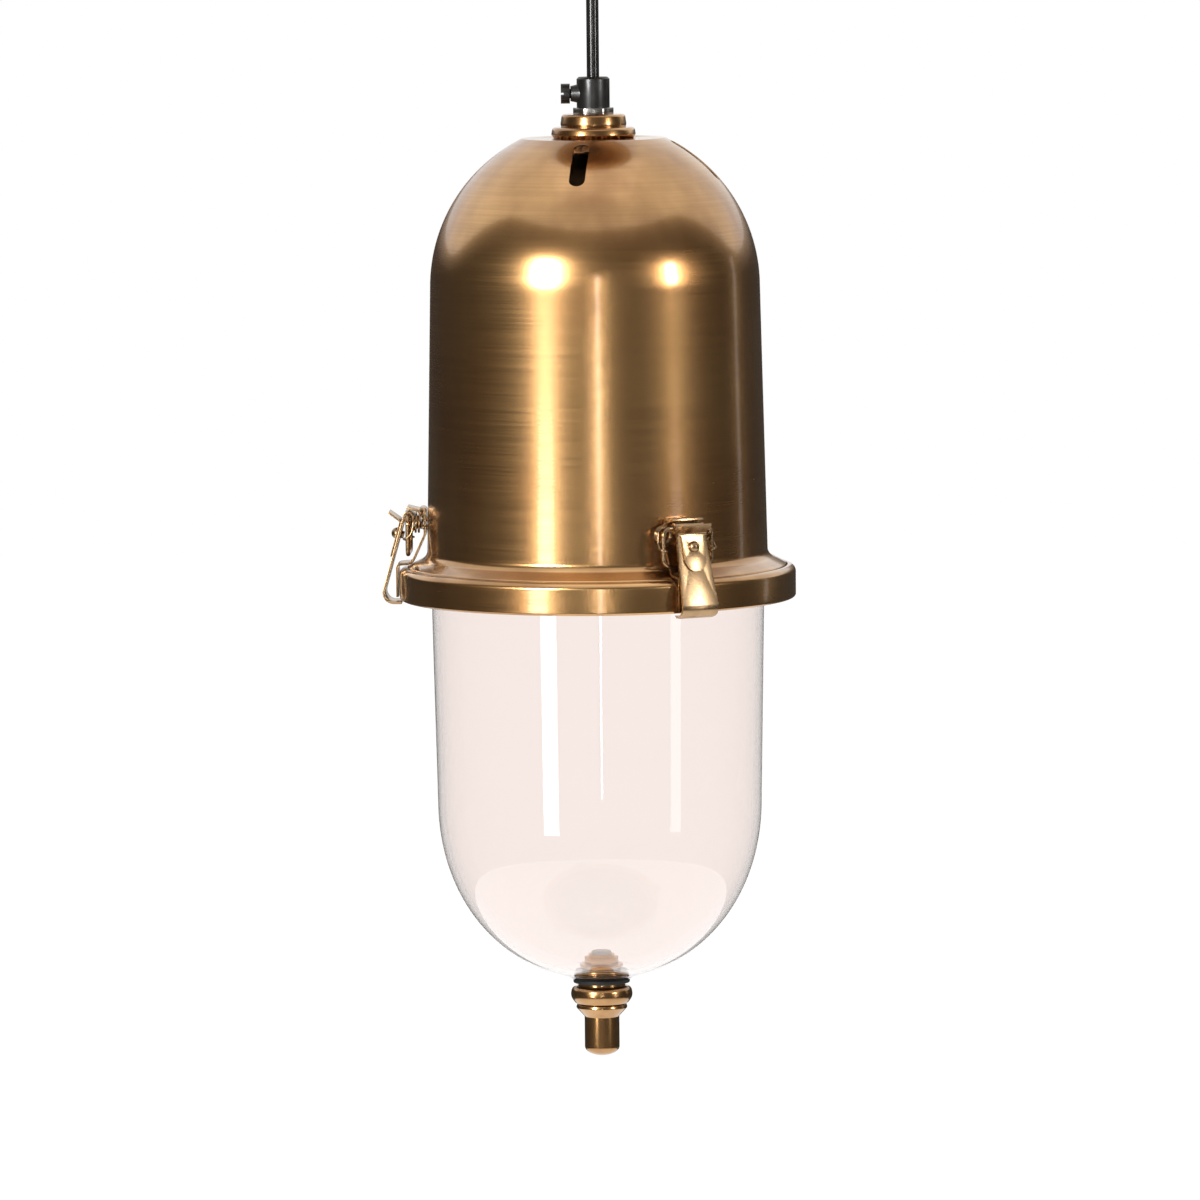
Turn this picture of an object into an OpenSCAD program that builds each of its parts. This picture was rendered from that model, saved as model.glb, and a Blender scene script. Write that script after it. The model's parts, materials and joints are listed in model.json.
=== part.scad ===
// Hanging lamp: a brass dome over a clear glass bowl, held by three spring clips,
// on a short flex under a ceiling rose. Millimetres, +Z up, the ceiling is z = 0.
// The front of the lamp faces -Y.

/* [Ceiling rose] */
// Outer diameter of the rose cup
rose_d = 104; // [90:1:130]
// Height of the rose cup
rose_h = 30; // [28:1:45]
// Sheet thickness of the rose cup
rose_wall = 1.2; // [0.8:0.1:2]
// Radius of the cup's lower edge
rose_round = 9; // [5:0.5:12]
// Distance between the two ceiling screws
screw_pitch = 60; // [50:1:64]
// Diameter of the ceiling screw holes
screw_hole_d = 4.5; // [4:0.1:5.5]
// Width of the ceiling bracket
bracket_w = 20; // [16:1:26]
// Sheet thickness of the ceiling bracket
bracket_t = 2; // [1.5:0.25:3]
// Length of the bracket's turned-down ears
ear_h = 14; // [12:0.5:18]
// Thread diameter of the two side screws
side_screw_d = 4; // [3:0.5:5]

/* [Flex and glands] */
// Outer diameter of the flex
flex_d = 6.2; // [5:0.1:6.6]
// Diameter of one insulated core
core_d = 2.2; // [1.6:0.1:2.4]
// Outer diameter of the cord grips
grip_d = 16.5; // [15:0.5:20]
// Height of the lower cord grip
grip_h = 15.3; // [14:0.1:20]
// Height of the cord grip under the rose
rose_grip_h = 12; // [11:0.5:16]
// Thread diameter of the hollow nipple and the finial stud
thread_d = 10; // [10:0.5:11]
// Diameter of the clamp screws' heads
clamp_head_d = 10; // [7:0.5:10.5]
// Height of the clamp screws' heads
clamp_head_h = 4.5; // [3:0.5:6]

/* [Neck] */
// Size across the flats of the neck nut
nut_af = 18.2; // [16:0.2:22]
// Height of the neck nut
nut_h = 3.2; // [2.5:0.1:5]
// Diameter of the collar's upper tier
collar_top_d = 33; // [28:0.5:36]
// Height of the collar's upper tier
collar_top_h = 6.5; // [5:0.1:9]
// Diameter of the collar's lower tier
collar_base_d = 42.5; // [38:0.5:50]
// Height of the collar's lower tier
collar_base_h = 5.5; // [4.5:0.1:8]

/* [Dome] */
// Height of the dome's flat top over the lower edge of the rim
dome_h = 230.5; // [215:0.5:250]
// Radius of the dome's round shoulder
crown_r = 82.6; // [80:0.1:84]
// Radius of the flat top
crown_flat_r = 36; // [32:0.5:45]
// Radius of the wall above the flare
wall_r = 85.5; // [84.5:0.1:86]
// Sheet thickness of the dome
dome_wall = 1.2; // [0.8:0.1:1.4]
// Width of a vent slot
vent_w = 8; // [5:0.5:10]
// Turn of the vent slots from the front
vent_turn = -8; // [-45:1:45]

/* [Rim ring] */
// Outer radius of the rim ring
rim_r = 99.5; // [99:0.1:100]
// Height of the rim ring
rim_h = 16.2; // [15.5:0.1:16.4]
// Sheet thickness of the rim ring
rim_wall = 1.2; // [0.8:0.1:1.3]
// Gap between the dome's hem and the ring's mouth
hem_gap = 0.3; // [0.3:0.05:0.5]

/* [Glass bowl] */
// Outer radius of the glass at the rim
glass_r = 83.6; // [82:0.1:83.8]
// Outer radius of the glass where its round end begins
glass_low_r = 81.5; // [78:0.1:83]
// Depth of the glass wall below the rim ring
glass_straight = 101.5; // [80:0.5:120]
// Depth of the round end
glass_round = 91.5; // [80:0.5:100]
// Thickness of the glass
glass_wall = 3; // [2.5:0.1:3.5]
// Thickness of the gasket under the glass flange
seat_gasket_t = 1.5; // [1:0.1:2]
// Thickness of the gasket over the glass flange
top_gasket_t = 2.5; // [2:0.1:3]

/* [Finial] */
// Diameter of the rubber washer outside the glass
outer_washer_d = 28.5; // [26:0.5:32]
// Thickness of the rubber washers
rubber_t = 2; // [1.5:0.1:3]
// Diameter of the finial's rounded ring
finial_ring_d = 32; // [29:0.5:36]
// Height of the finial's rounded ring
finial_ring_h = 9.5; // [8:0.1:12]
// Diameter of the finial's lower cup
finial_cup_d = 26; // [22:0.5:28]
// Height of the finial's lower cup
finial_cup_h = 5; // [4:0.1:7]
// Diameter of the finial's barrel
barrel_d = 17.6; // [15:0.2:20]
// Length of the finial's barrel
barrel_h = 16.5; // [12:0.5:24]
// Height of the barrel's rounded end
barrel_end_h = 4.8; // [3:0.1:6]
// Diameter of the brass washer inside the glass
inner_washer_d = 22; // [20:0.5:25]
// Size across the flats of the nut inside the glass
inner_nut_af = 15.5; // [14:0.5:17]

/* [Clips] */
// Turns of the three clips from the front
clip_turns = [-92, 28, 148];
// Sheet thickness of the clip brackets
clip_t = 1.2; // [1:0.1:1.4]
// Width of the clip brackets
clip_w = 17; // [15:0.5:18]
// Sheet thickness of the straps
strap_t = 1.4; // [1.2:0.1:1.5]
// Width of a strap at its eye
strap_top_w = 16; // [14:0.5:17]
// Width of a strap at its hook
strap_low_w = 20; // [18:0.5:22]
// Diameter of the bail wire
bail_d = 2.2; // [2:0.1:2.3]
// Width of a bail between the centres of its sides
bail_w = 27; // [26:0.5:28]
// Height of a bail between the centres of its ends
bail_h = 18.7; // [17.5:0.1:18.9]
// Diameter of the spring wire
spring_wire_d = 1.1; // [1:0.05:1.15]
// Width of a tongue's finger tab
tab_w = 16; // [14:0.5:17]
// Width of a tongue's round end
tongue_w = 12; // [10:0.5:13]

/* [Lampholder and bulb] */
// Outer diameter of the lampholder
holder_d = 44; // [40:1:50]
// Length of the lampholder's lower shell
holder_shell_h = 31; // [29:0.5:36]
// Diameter of the bulb's glass
bulb_d = 60; // [50:1:65]
// Length of the bulb from its contact to its end
bulb_len = 104; // [100:1:115]
// Diameter of the bulb's screw cap
cap_d = 26.5; // [26:0.1:27]

/* [Hidden] */
$fn = 96;
round_steps = 6;
fit_gap = 0.1;
free_gap = 0.3;
pin_gap = 0.05;
roll_lap = 0.08;
sweep_sides = 10;

// Route of the flex from the swing point under the rose to the lampholder
flex_route = [[0, 0, -38.1], [0, 0, -52], [0, 0, -66], [0, 0, -80], [0, 0, -94], [0, 0, -108],
              [0, 0, -122], [0, 0, -134]];
// Route of the flex's upper end through the rose's grip
tail_route = [[0, 0, -37.3], [0, 0, -32], [0, 0, -22]];
// Routes of the cores above the flex, to the terminal block
terminal_z = -bracket_t - 6.5;
rose_core_routes = [
    [[-1.52, -0.88, -21.9], [-1.52, -0.88, -19.2], [-4, 0.6, -16.2], [-8, 3.4, -12.6], [-10, 6, -9.6],
     [-10, 9, terminal_z], [-10, 11, terminal_z], [-10, 14, terminal_z]],
    [[0, 1.75, -21.9], [0, 1.75, -19.2], [0, 2.6, -16.2], [0, 4.2, -12.6], [0, 6.4, -9.6],
     [0, 9, terminal_z], [0, 11, terminal_z], [0, 14, terminal_z]],
    [[1.52, -0.88, -21.9], [1.52, -0.88, -19.2], [4, 0.6, -16.2], [8, 3.4, -12.6], [10, 6, -9.6],
     [10, 9, terminal_z], [10, 11, terminal_z], [10, 14, terminal_z]]];
// Sideways spread and depth of the cores below the flex, in the lampholder
holder_core_route = [[0.4, -0.1], [0.4, -2], [0.4, -6], [0.5, -8.6], [2.6, -12], [5.4, -16], [6.7, -20],
                     [6.7, -23], [6.7, -26]];

// Heights of the lamp, from the ceiling down
free_flex = 54;
rose_face_z = -rose_h - rose_grip_h;
swing_z = rose_face_z + 4.5;
grip_top_z = rose_face_z - free_flex;
neck_h = collar_base_h + collar_top_h + nut_h;
rim_z = grip_top_z - grip_h - neck_h - dome_h;

// The bracket's ears: they stop short of the cup's round wall
ear_x = sqrt(pow(rose_d / 2 - rose_wall, 2) - pow(bracket_w / 2, 2)) - free_gap - bracket_t / 2;
side_screw_z = -(ear_h + bracket_t) / 2;

// Radii of the thread, its clearance holes and the flex's bore
thread_r = thread_d / 2;
thread_hole_r = thread_r + fit_gap;
flex_r = flex_d / 2;
flex_bore_r = flex_r + fit_gap;
nipple_bore_r = thread_r - 1.6;

// Clamp screws: how far the head stands off the grip, and their heights
clamp_shank_r = 2.4;
clamp_stand_off = 3.4;
nipple_depth = 4;
rose_clamp_z = -rose_h - clamp_head_d / 2 - 0.6;
grip_clamp_z = grip_top_z - grip_h + nipple_depth + clamp_shank_r + 0.6;

// The dome's profile: middle of the sheet, heights over the rim's lower edge
crown_z = dome_h - sqrt(crown_r * crown_r - crown_flat_r * crown_flat_r);
hem_r = rim_r - 4.1 - hem_gap;
hem_bottom_z = rim_wall + seat_gasket_t + glass_wall + top_gasket_t + 0.2;
hem_corner_z = rim_h + 0.2;
flare_slope = 28;
flare_z = hem_corner_z + (hem_r - dome_wall - wall_r) * tan(flare_slope);
vent_from = 28;
vent_to = 50;
vent_mid = (vent_from + vent_to) / 2;
vent_len = 2 * crown_r * sin((vent_to - vent_from) / 2);

// The rim ring's profile
ring_mid_r = rim_r - rim_wall / 2;
ring_mouth_r = hem_r + hem_gap;
ring_hole_r = glass_r + 0.8;
seat_gasket_r = ring_hole_r + 2;

// The glass flange and the stack under and over it
flange_r = ring_mid_r - rim_wall / 2 - 3;
flange_z = rim_wall + seat_gasket_t + glass_wall / 2;
glass_power = 2.1;
glass_bottom_z = -glass_straight - glass_round;
glass_hole_r = thread_r + free_gap;

// The clips: r outwards, z over the rim's lower edge
strip_r = wall_r + 0.15 + clip_t / 2;
skirt_r = rim_r + free_gap + clip_t / 2;
skirt_z = 1.4;
foot_z = rim_h + 0.9 + clip_t / 2;
strip_low_z = 33;
leg_foot_r = 92.9;
leg_foot_z = foot_z + 0.6;
eye_bore_r = spring_wire_d / 2 + 0.15;
eye_mid_r = eye_bore_r + 0.03 + clip_t / 2;
eye = [strip_r + eye_mid_r, 44.2];
lip_end = [95.3, 46.15];
pivot = [94.6, 41.8];
strap_eye_r = bail_d / 2 + pin_gap + 0.03 + strap_t / 2;
hook_r = 5.2;
hook_drop = 0.8;
hook = [skirt_r + 1.5, hook_r - hook_drop - strap_t / 2];
hook_tip_r = rim_r - 1.2;
bail_corner_r = 4;
coil_r = 3.95;
coil_t = bail_w / 2 - 2.6;
coil_z = 38.4;
coil_pitch = 1.6;
coil_start_r = 88.3;
coil_turns = 2.25;
coil_steps = 14;
hook_wire_r = bail_d / 2 + spring_wire_d / 2 + free_gap;
tongue_t = 1;
tongue_from = 3.2;
tongue_to = 22.5;
tab_end = [104.6, 43.9];
rivet_at = 10.2;
rivet_r = 1.3;
rivet_head_r = 2.9;
base_rivet_r = 1.25;
base_rivet_head_r = 2;
base_rivet_lean = 0.65;
base_rivet_zs = [35.9, 40];

// The lampholder and the bulb, heights over the rim's lower edge
dome_inside_z = dome_h - dome_wall;
dome_washer_t = 1.5;
dome_nut_h = 4;
holder_top_z = dome_inside_z - dome_washer_t - dome_nut_h - 1;
holder_cap_h = 24;
holder_joint_z = holder_top_z - holder_cap_h;
holder_wall = 2;
insulator_h = 8;
insulator_z = holder_joint_z - insulator_h;
holder_mouth_z = holder_joint_z - holder_shell_h;
screw_shell_t = 0.5;
cap_r = cap_d / 2;
screw_shell_r = cap_r + free_gap;
contact_t = 1.5;
bulb_top_z = insulator_z - contact_t - free_gap;
cap_h = 23;
bulb_wall = 0.8;
bulb_neck_r = cap_r - 1;
bulb_center_z = bulb_top_z - bulb_len + bulb_d / 2;

// The terminal block in the rose
block = [32, 14, 11];
block_y = 18.5;
block_hole_r = core_d / 2 + 0.4;
block_pitch = 10;

// Washers and nut of the finial, heights over the rim's lower edge
brass_washer_t = 1.6;
inner_nut_h = 5.5;
inner_nut_tier = 1.4;
finial_neck_r = 11.75;
finial_neck_h = 1.5;
outer_washer_z = glass_bottom_z - rubber_t;
finial_neck_z = outer_washer_z - finial_neck_h;
finial_ring_z = finial_neck_z - finial_ring_h;
finial_cup_z = finial_ring_z - finial_cup_h;
barrel_z = finial_cup_z - barrel_h;
inner_rubber_z = glass_bottom_z + glass_wall;
inner_brass_z = inner_rubber_z + rubber_t;
inner_nut_z = inner_brass_z + brass_washer_t;

// Direction of a vector
function unit(v) = v / norm(v);

// The last entry of a list
function last(list) = list[len(list) - 1];

// A list from its end to its start
function reversed(list) = [for (i = [len(list) - 1:-1:0]) list[i]];

// Points of the arc that rounds corner b between a and c
function corner_arc(a, b, c, r) =
    let (u = unit(a - b), w = unit(c - b), half = acos(u * w) / 2)
    let (centre = b + unit(u + w) * r / sin(half))
    let (p = b + u * r / tan(half) - centre, q = b + w * r / tan(half) - centre)
    let (from = atan2(p.y, p.x), turn = (atan2(q.y, q.x) - from + 540) % 360 - 180)
    [for (i = [0:round_steps]) centre + r * [cos(from + turn * i / round_steps), sin(from + turn * i / round_steps)]];

// A line of points with its inner corners rounded, one radius for each (0 leaves it sharp)
function bent(points, radii) = [
    points[0],
    for (i = [1:len(points) - 2])
        each radii[i - 1] > 0 ? corner_arc(points[i - 1], points[i], points[i + 1], radii[i - 1]) : [points[i]],
    last(points)];

// Left normal of the line at point i, lengthened at a bend so that the sheet keeps its thickness
function mitre(path, i) =
    let (before = unit(path[max(i, 1)] - path[max(i, 1) - 1]))
    let (after = unit(path[min(i, len(path) - 2) + 1] - path[min(i, len(path) - 2)]))
    let (n1 = [-before.y, before.x], n2 = [-after.y, after.x])
    (n1 + n2) / (1 + n1 * n2);

function shifted(path, by) = [for (i = [0:len(path) - 1]) path[i] + mitre(path, i) * by];

// Outline of a sheet of thickness t whose middle follows the path
module sheet(path, t) {
    polygon(concat(shifted(path, t / 2), reversed(shifted(path, -t / 2))));
}

// Direction of a 3D path at point i
function heading(path, i) = unit(path[min(i + 1, len(path) - 1)] - path[max(i - 1, 0)]);

// Any direction square to v
function square_to(v) = unit(cross(v, abs(v.z) < 0.9 ? [0, 0, 1] : [1, 0, 0]));

// One side direction for each point of a path, carried along it without twist
function side_directions(path) = [
    for (i = 0, side = square_to(heading(path, 0));
         i < len(path);
         i = i + 1,
         along = heading(path, min(i, len(path) - 1)),
         side = unit(side - along * (side * along)))
        side];

// A round tube along the path: one closed polyhedron
module swept(path, r, sides = sweep_sides) {
    dirs = side_directions(path);
    points = [for (i = [0:len(path) - 1]) let (out = dirs[i], over = cross(heading(path, i), out))
        for (k = [0:sides - 1]) path[i] + r * (out * cos(360 * k / sides) + over * sin(360 * k / sides))];
    ends = (len(path) - 1) * sides;
    walls = [for (i = [0:len(path) - 2]) for (k = [0:sides - 1]) let (m = (k + 1) % sides)
        each [[i * sides + k, (i + 1) * sides + k, i * sides + m],
              [i * sides + m, (i + 1) * sides + k, (i + 1) * sides + m]]];
    first_cap = [for (k = [1:sides - 2]) [0, k, k + 1]];
    last_cap = [for (k = [1:sides - 2]) [ends, ends + k + 1, ends + k]];
    polyhedron(points, concat(walls, first_cap, last_cap));
}

// Puts what is drawn over the rim's lower edge at its height
module at_rim(z = 0) {
    translate([0, 0, rim_z + z]) children();
}

// A hexagon of size af across its flats with a round hole
module hex_ring(af, h, hole_r, round_r) {
    difference() {
        intersection() {
            cylinder(h = h, r = af / sqrt(3), $fn = 6);
            cylinder(h = h, r = round_r);
        }
        translate([0, 0, -1]) cylinder(h = h + 2, r = hole_r);
    }
}

// A round plate with a round hole
module ring_plate(r, hole_r, h) {
    difference() {
        cylinder(h = h, r = r);
        translate([0, 0, -1]) cylinder(h = h + 2, r = hole_r);
    }
}

// Steel bar screwed to the ceiling, with a tapped ear at each end for the cup
module ceiling_bracket() {
    path = bent([[-ear_x, -ear_h], [-ear_x, -bracket_t / 2], [ear_x, -bracket_t / 2], [ear_x, -ear_h]],
                [bracket_t, bracket_t]);
    color("silver") difference() {
        rotate([90, 0, 0]) linear_extrude(height = bracket_w, center = true) sheet(path, bracket_t);
        for (x = [-screw_pitch / 2, screw_pitch / 2])
            translate([x, 0, -bracket_t - 1]) cylinder(h = bracket_t + 2, r = screw_hole_d / 2);
        for (s = [-1, 1])
            translate([s * (ear_x - bracket_t), 0, side_screw_z])
                rotate([0, s * 90, 0]) cylinder(h = 2 * bracket_t, r = side_screw_d / 2);
    }
}

// Spun brass cup that covers the wiring
module rose_cup() {
    wall = rose_wall;
    base_z = -rose_h + wall / 2;
    mid_r = rose_d / 2 - wall / 2;
    path = bent([[thread_hole_r, base_z], [mid_r, base_z], [mid_r, 0]], [rose_round]);
    color("darkgoldenrod") difference() {
        rotate_extrude() sheet(path, wall);
        for (s = [-1, 1])
            translate([s * (mid_r - wall), 0, side_screw_z])
                rotate([0, s * 90, 0]) cylinder(h = 2 * wall, r = side_screw_d / 2 + fit_gap);
    }
}

// Two thumb screws that hold the cup to the bracket's ears
module rose_screws() {
    head_h = 4;
    shank = rose_d / 2 - ear_x + bracket_t / 2 + 2;
    color("darkgoldenrod") for (s = [-1, 1])
        translate([s * rose_d / 2, 0, side_screw_z]) rotate([0, s * 90, 0]) {
            cylinder(h = head_h, r = side_screw_d);
            translate([0, 0, -shank]) cylinder(h = shank, r = side_screw_d / 2 - 0.05);
        }
}

// Insulating block with three through holes and a screw well over each
module terminal_block() {
    color("ivory") difference() {
        translate([-block.x / 2, block_y - block.y / 2, -bracket_t - block.z]) cube(block);
        for (i = [-1:1])
            translate([i * block_pitch, block_y, block_z()]) {
                rotate([90, 0, 0]) cylinder(h = block.y + 2, r = block_hole_r + 1, center = true);
                mirror([0, 0, 1]) cylinder(h = block.z, r = 1.9);
            }
    }
}

function block_z() = -bracket_t - block.z / 2 - 1;

// Three brass terminal tubes, each with two clamping screws' shared head below
module terminal_tubes() {
    color("gold") for (i = [-1:1])
        translate([i * block_pitch, block_y, block_z()]) {
            difference() {
                rotate([90, 0, 0]) cylinder(h = block.y - 1, r = block_hole_r + 0.9, center = true);
                rotate([90, 0, 0]) cylinder(h = block.y + 1, r = block_hole_r, center = true);
            }
            mirror([0, 0, 1]) translate([0, 0, block_hole_r + 0.5]) cylinder(h = 2, r = 1.8);
        }
}

// Cord grip under the rose: its bell mouth lets the flex swing
module rose_grip() {
    mouth = swing_z + 0.9 - rose_face_z;
    stub_h = 10;
    color("dimgray") difference() {
        union() {
            translate([0, 0, rose_face_z]) cylinder(h = rose_grip_h, r = grip_d / 2);
            translate([0, 0, -rose_h]) cylinder(h = stub_h, r = thread_r);
        }
        translate([0, 0, rose_face_z - 1]) cylinder(h = rose_grip_h + stub_h + 2, r = flex_bore_r);
        translate([0, 0, rose_face_z - 0.01])
            cylinder(h = mouth, r1 = flex_r + 1.6, r2 = flex_r + 0.35);
        translate([0, 0, rose_clamp_z])
            rotate([0, -90, 0]) cylinder(h = grip_d, r = clamp_shank_r + fit_gap);
    }
}

// Clamp screw with a slotted head, its tip just off the flex
module clamp_screw(z) {
    head_at = grip_d / 2 + clamp_stand_off;
    color("dimgray") translate([0, 0, z]) rotate([0, -90, 0]) difference() {
        union() {
            translate([0, 0, flex_r + 0.5]) cylinder(h = head_at - flex_r, r = clamp_shank_r);
            translate([0, 0, head_at]) cylinder(h = clamp_head_h, r = clamp_head_d / 2);
        }
        translate([-0.6, -clamp_head_d, head_at + clamp_head_h - 1.4]) cube([1.2, 2 * clamp_head_d, 4]);
    }
}

module rose_grip_screw() {
    clamp_screw(rose_clamp_z);
}

// Lock nut inside the rose
module rose_nut() {
    color("silver") translate([0, 0, -rose_h + rose_wall])
        hex_ring(nut_af - 3, nut_h, thread_r + 0.05, (nut_af - 3) / sqrt(3) - 0.5);
}

// Upper end of the flex, fixed in the rose's grip
module cord_tail() {
    color("dimgray") swept(tail_route, flex_r);
}

// Flex from the rose's mouth through the neck to the lampholder
module cord() {
    color("dimgray") swept(flex_route, flex_r);
}

// Line, neutral and earth cores in the rose
module rose_cores() {
    color("saddlebrown") for (route = rose_core_routes) swept(route, core_d / 2, 8);
}

// Black cord grip with a side boss for its clamp screw
module cord_grip() {
    z = grip_top_z - grip_h;
    boss_z = grip_clamp_z;
    color("dimgray") difference() {
        union() {
            translate([0, 0, z]) cylinder(h = grip_h - 1, r = grip_d / 2);
            translate([0, 0, grip_top_z - 1]) cylinder(h = 1, r1 = grip_d / 2, r2 = grip_d / 2 - 1);
            translate([0, 0, boss_z]) rotate([0, -90, 0])
                cylinder(h = grip_d / 2 + clamp_stand_off - free_gap, r1 = 6.5, r2 = 3.8);
        }
        translate([0, 0, z - 1]) cylinder(h = grip_h + 2, r = flex_bore_r);
        translate([0, 0, z - 1]) cylinder(h = nipple_depth + 1, r = thread_hole_r);
        translate([0, 0, boss_z]) rotate([0, -90, 0]) cylinder(h = grip_d, r = clamp_shank_r + fit_gap);
    }
}

module grip_screw() {
    clamp_screw(grip_clamp_z);
}

// Flat hexagon nut on the neck
module top_nut() {
    color("silver") translate([0, 0, grip_top_z - grip_h - nut_h])
        hex_ring(nut_af, nut_h, thread_r + 0.05, nut_af / sqrt(3) - 0.4);
}

// Outline of one turned tier: a straight lower band under a rounded edge
module tier_outline(r, low_r, h, edge) {
    path = bent([[low_r, 0], [r, edge], [r - 0.6, h], [thread_hole_r, h]], [edge * 0.8, edge]);
    polygon(concat([[thread_hole_r, 0]], path));
}

module collar_top() {
    r = collar_top_d / 2;
    color("darkgoldenrod") at_rim(dome_h + collar_base_h)
        rotate_extrude() tier_outline(r, r - 0.3, collar_top_h, 1.6);
}

module collar_base() {
    r = collar_base_d / 2;
    color("darkgoldenrod") at_rim(dome_h) rotate_extrude() tier_outline(r, r - 1.2, collar_base_h, 1.8);
}

// Hollow threaded tube that carries the lamp from the cord grip to the lampholder
module nipple() {
    top = grip_top_z - grip_h + nipple_depth;
    bottom = rim_z + holder_top_z - 7;
    color("silver") translate([0, 0, bottom]) ring_plate(thread_r, nipple_bore_r, top - bottom);
}

// Middle line of the dome's sheet, from the hole in its top to its hem
function dome_path() =
    let (half = dome_wall / 2, crown_from = asin(crown_flat_r / crown_r), crown_steps = 14)
    let (crown = [for (i = [0:crown_steps - 1]) let (a = crown_from + (90 - crown_from) * i / crown_steps)
        [0, crown_z] + (crown_r - half) * [sin(a), cos(a)]])
    concat([[thread_hole_r, dome_h - half], [crown[0].x - 1, dome_h - half]], crown,
           bent([[crown_r - half, crown_z], [wall_r - half, flare_z], [hem_r - half, hem_corner_z], [hem_r - half, hem_bottom_z]],
                [5 + half, 1.4 - half]));

// Spun brass dome: round shoulder with four vent slots, slightly tapered wall, flared foot with a hem
module dome() {
    color("darkgoldenrod") difference() {
        at_rim() rotate_extrude() sheet(dome_path(), dome_wall);
        for (i = [0:3])
            at_rim(crown_z) rotate([0, 0, vent_turn + 90 * i - 90]) rotate([0, vent_mid, 0])
                translate([0, 0, crown_r - 8]) linear_extrude(height = 16) {
                    square([vent_len - vent_w, vent_w], center = true);
                    for (s = [-1, 1]) translate([s * (vent_len - vent_w) / 2, 0]) circle(r = vent_w / 2);
                }
        for (turn = clip_turns)
            at_clip(turn) for (z = base_rivet_zs)
                translate([wall_r - 6, 0, z]) rotate([0, 90, 0]) cylinder(h = 8, r = base_rivet_r + 0.05);
    }
}

module dome_washer() {
    color("silver") at_rim(dome_inside_z - dome_washer_t) ring_plate(14, thread_hole_r, dome_washer_t);
}

module dome_nut() {
    color("silver") at_rim(dome_inside_z - dome_washer_t - dome_nut_h)
        hex_ring(nut_af - 1, dome_nut_h, thread_r + 0.05, (nut_af - 1) / sqrt(3) - 0.5);
}

// Moulded upper half of the lampholder, tapped for the nipple
module holder_cap() {
    r = holder_d / 2;
    wall = holder_wall;
    outer = bent([[12, holder_cap_h], [r, holder_cap_h - 9], [r, 0]], [8]);
    inner = [[r - wall, -1], [r - wall, holder_cap_h - 10], [11, holder_cap_h - 8], [0, holder_cap_h - 8]];
    color("dimgray") at_rim(holder_joint_z) difference() {
        rotate_extrude() polygon(concat([[0, holder_cap_h]], outer, [[0, 0]]));
        rotate_extrude() polygon(concat([[0, -1]], inner));
        translate([0, 0, holder_cap_h - 10]) cylinder(h = 12, r = thread_hole_r);
    }
}

// Moulded lower shell around the screw shell
module holder_shell() {
    r = holder_d / 2;
    lip_r = screw_shell_r + screw_shell_t + 0.4;
    path = bent([[lip_r + holder_wall, holder_wall / 2], [r - holder_wall / 2, holder_wall / 2],
                 [r - holder_wall / 2, holder_shell_h - fit_gap]], [3]);
    color("dimgray") at_rim(holder_mouth_z) rotate_extrude() sheet(path, holder_wall);
}

// Glazed insulator that carries the screw shell and the contact
module holder_insulator() {
    color("ivory") at_rim(insulator_z) difference() {
        cylinder(h = insulator_h - fit_gap, r = holder_d / 2 - holder_wall - fit_gap);
        for (a = [90, 210, 330]) rotate([0, 0, a]) translate([8, 0, -1])
            cylinder(h = insulator_h + 2, r = core_d / 2 + fit_gap);
    }
}

// Brass shell that takes the bulb's screw cap
module holder_screw_shell() {
    h = insulator_z - holder_mouth_z - holder_wall;
    color("gold") at_rim(insulator_z - h) difference() {
        cylinder(h = h, r = screw_shell_r + screw_shell_t);
        translate([0, 0, -1]) cylinder(h = h + 1 - screw_shell_t, r = screw_shell_r);
        translate([0, 0, -1]) cylinder(h = h + 2, r = 9.5);
    }
}

// Sprung centre contact under the insulator
module holder_contact() {
    color("gold") at_rim(insulator_z - contact_t) {
        cylinder(h = contact_t, r = 3);
        translate([-7.5, -2, contact_t - 0.6]) cube([7, 4, 0.6]);
    }
}

// Line, neutral and earth cores from the flex's end into the insulator
module holder_cores() {
    top = last(flex_route).z;
    color("saddlebrown") for (a = [90, 210, 330])
        rotate([0, 0, a]) swept([for (p = holder_core_route) [p.x + 1.3, 0, top + p.y]], core_d / 2 - 0.1, 8);
}

// Screw cap of the bulb with its insulated contact
module bulb_cap() {
    skirt = 19.5;
    color("silver") at_rim(bulb_top_z - cap_h) difference() {
        rotate_extrude() polygon([[0, cap_h], [3.5, cap_h], [5, cap_h - 1.2], [9, cap_h - 1.8], [cap_r, skirt],
                                  [cap_r, 0], [0, 0]]);
        translate([0, 0, -1]) cylinder(h = skirt, r = bulb_neck_r + fit_gap);
    }
}

// Hollow glass envelope of the bulb
module bulb_glass() {
    half = bulb_wall / 2;
    ball_r = bulb_d / 2 - half;
    top = bulb_top_z - cap_h + 15;
    neck_z = bulb_top_z - cap_h - 6;
    ball = [for (a = [38:8:174]) [0, bulb_center_z] + ball_r * [sin(a), cos(a)]];
    path = concat(bent([[bulb_neck_r - half, top], [bulb_neck_r - half, neck_z], ball[0]], [14]),
                  [for (i = [1:len(ball) - 1]) ball[i]], [[0, bulb_center_z - ball_r]]);
    color("aliceblue") at_rim() rotate_extrude() intersection() {
        sheet(path, bulb_wall);
        translate([0, bulb_center_z - bulb_d]) square([bulb_d, 3 * bulb_d]);
    }
}

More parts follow.
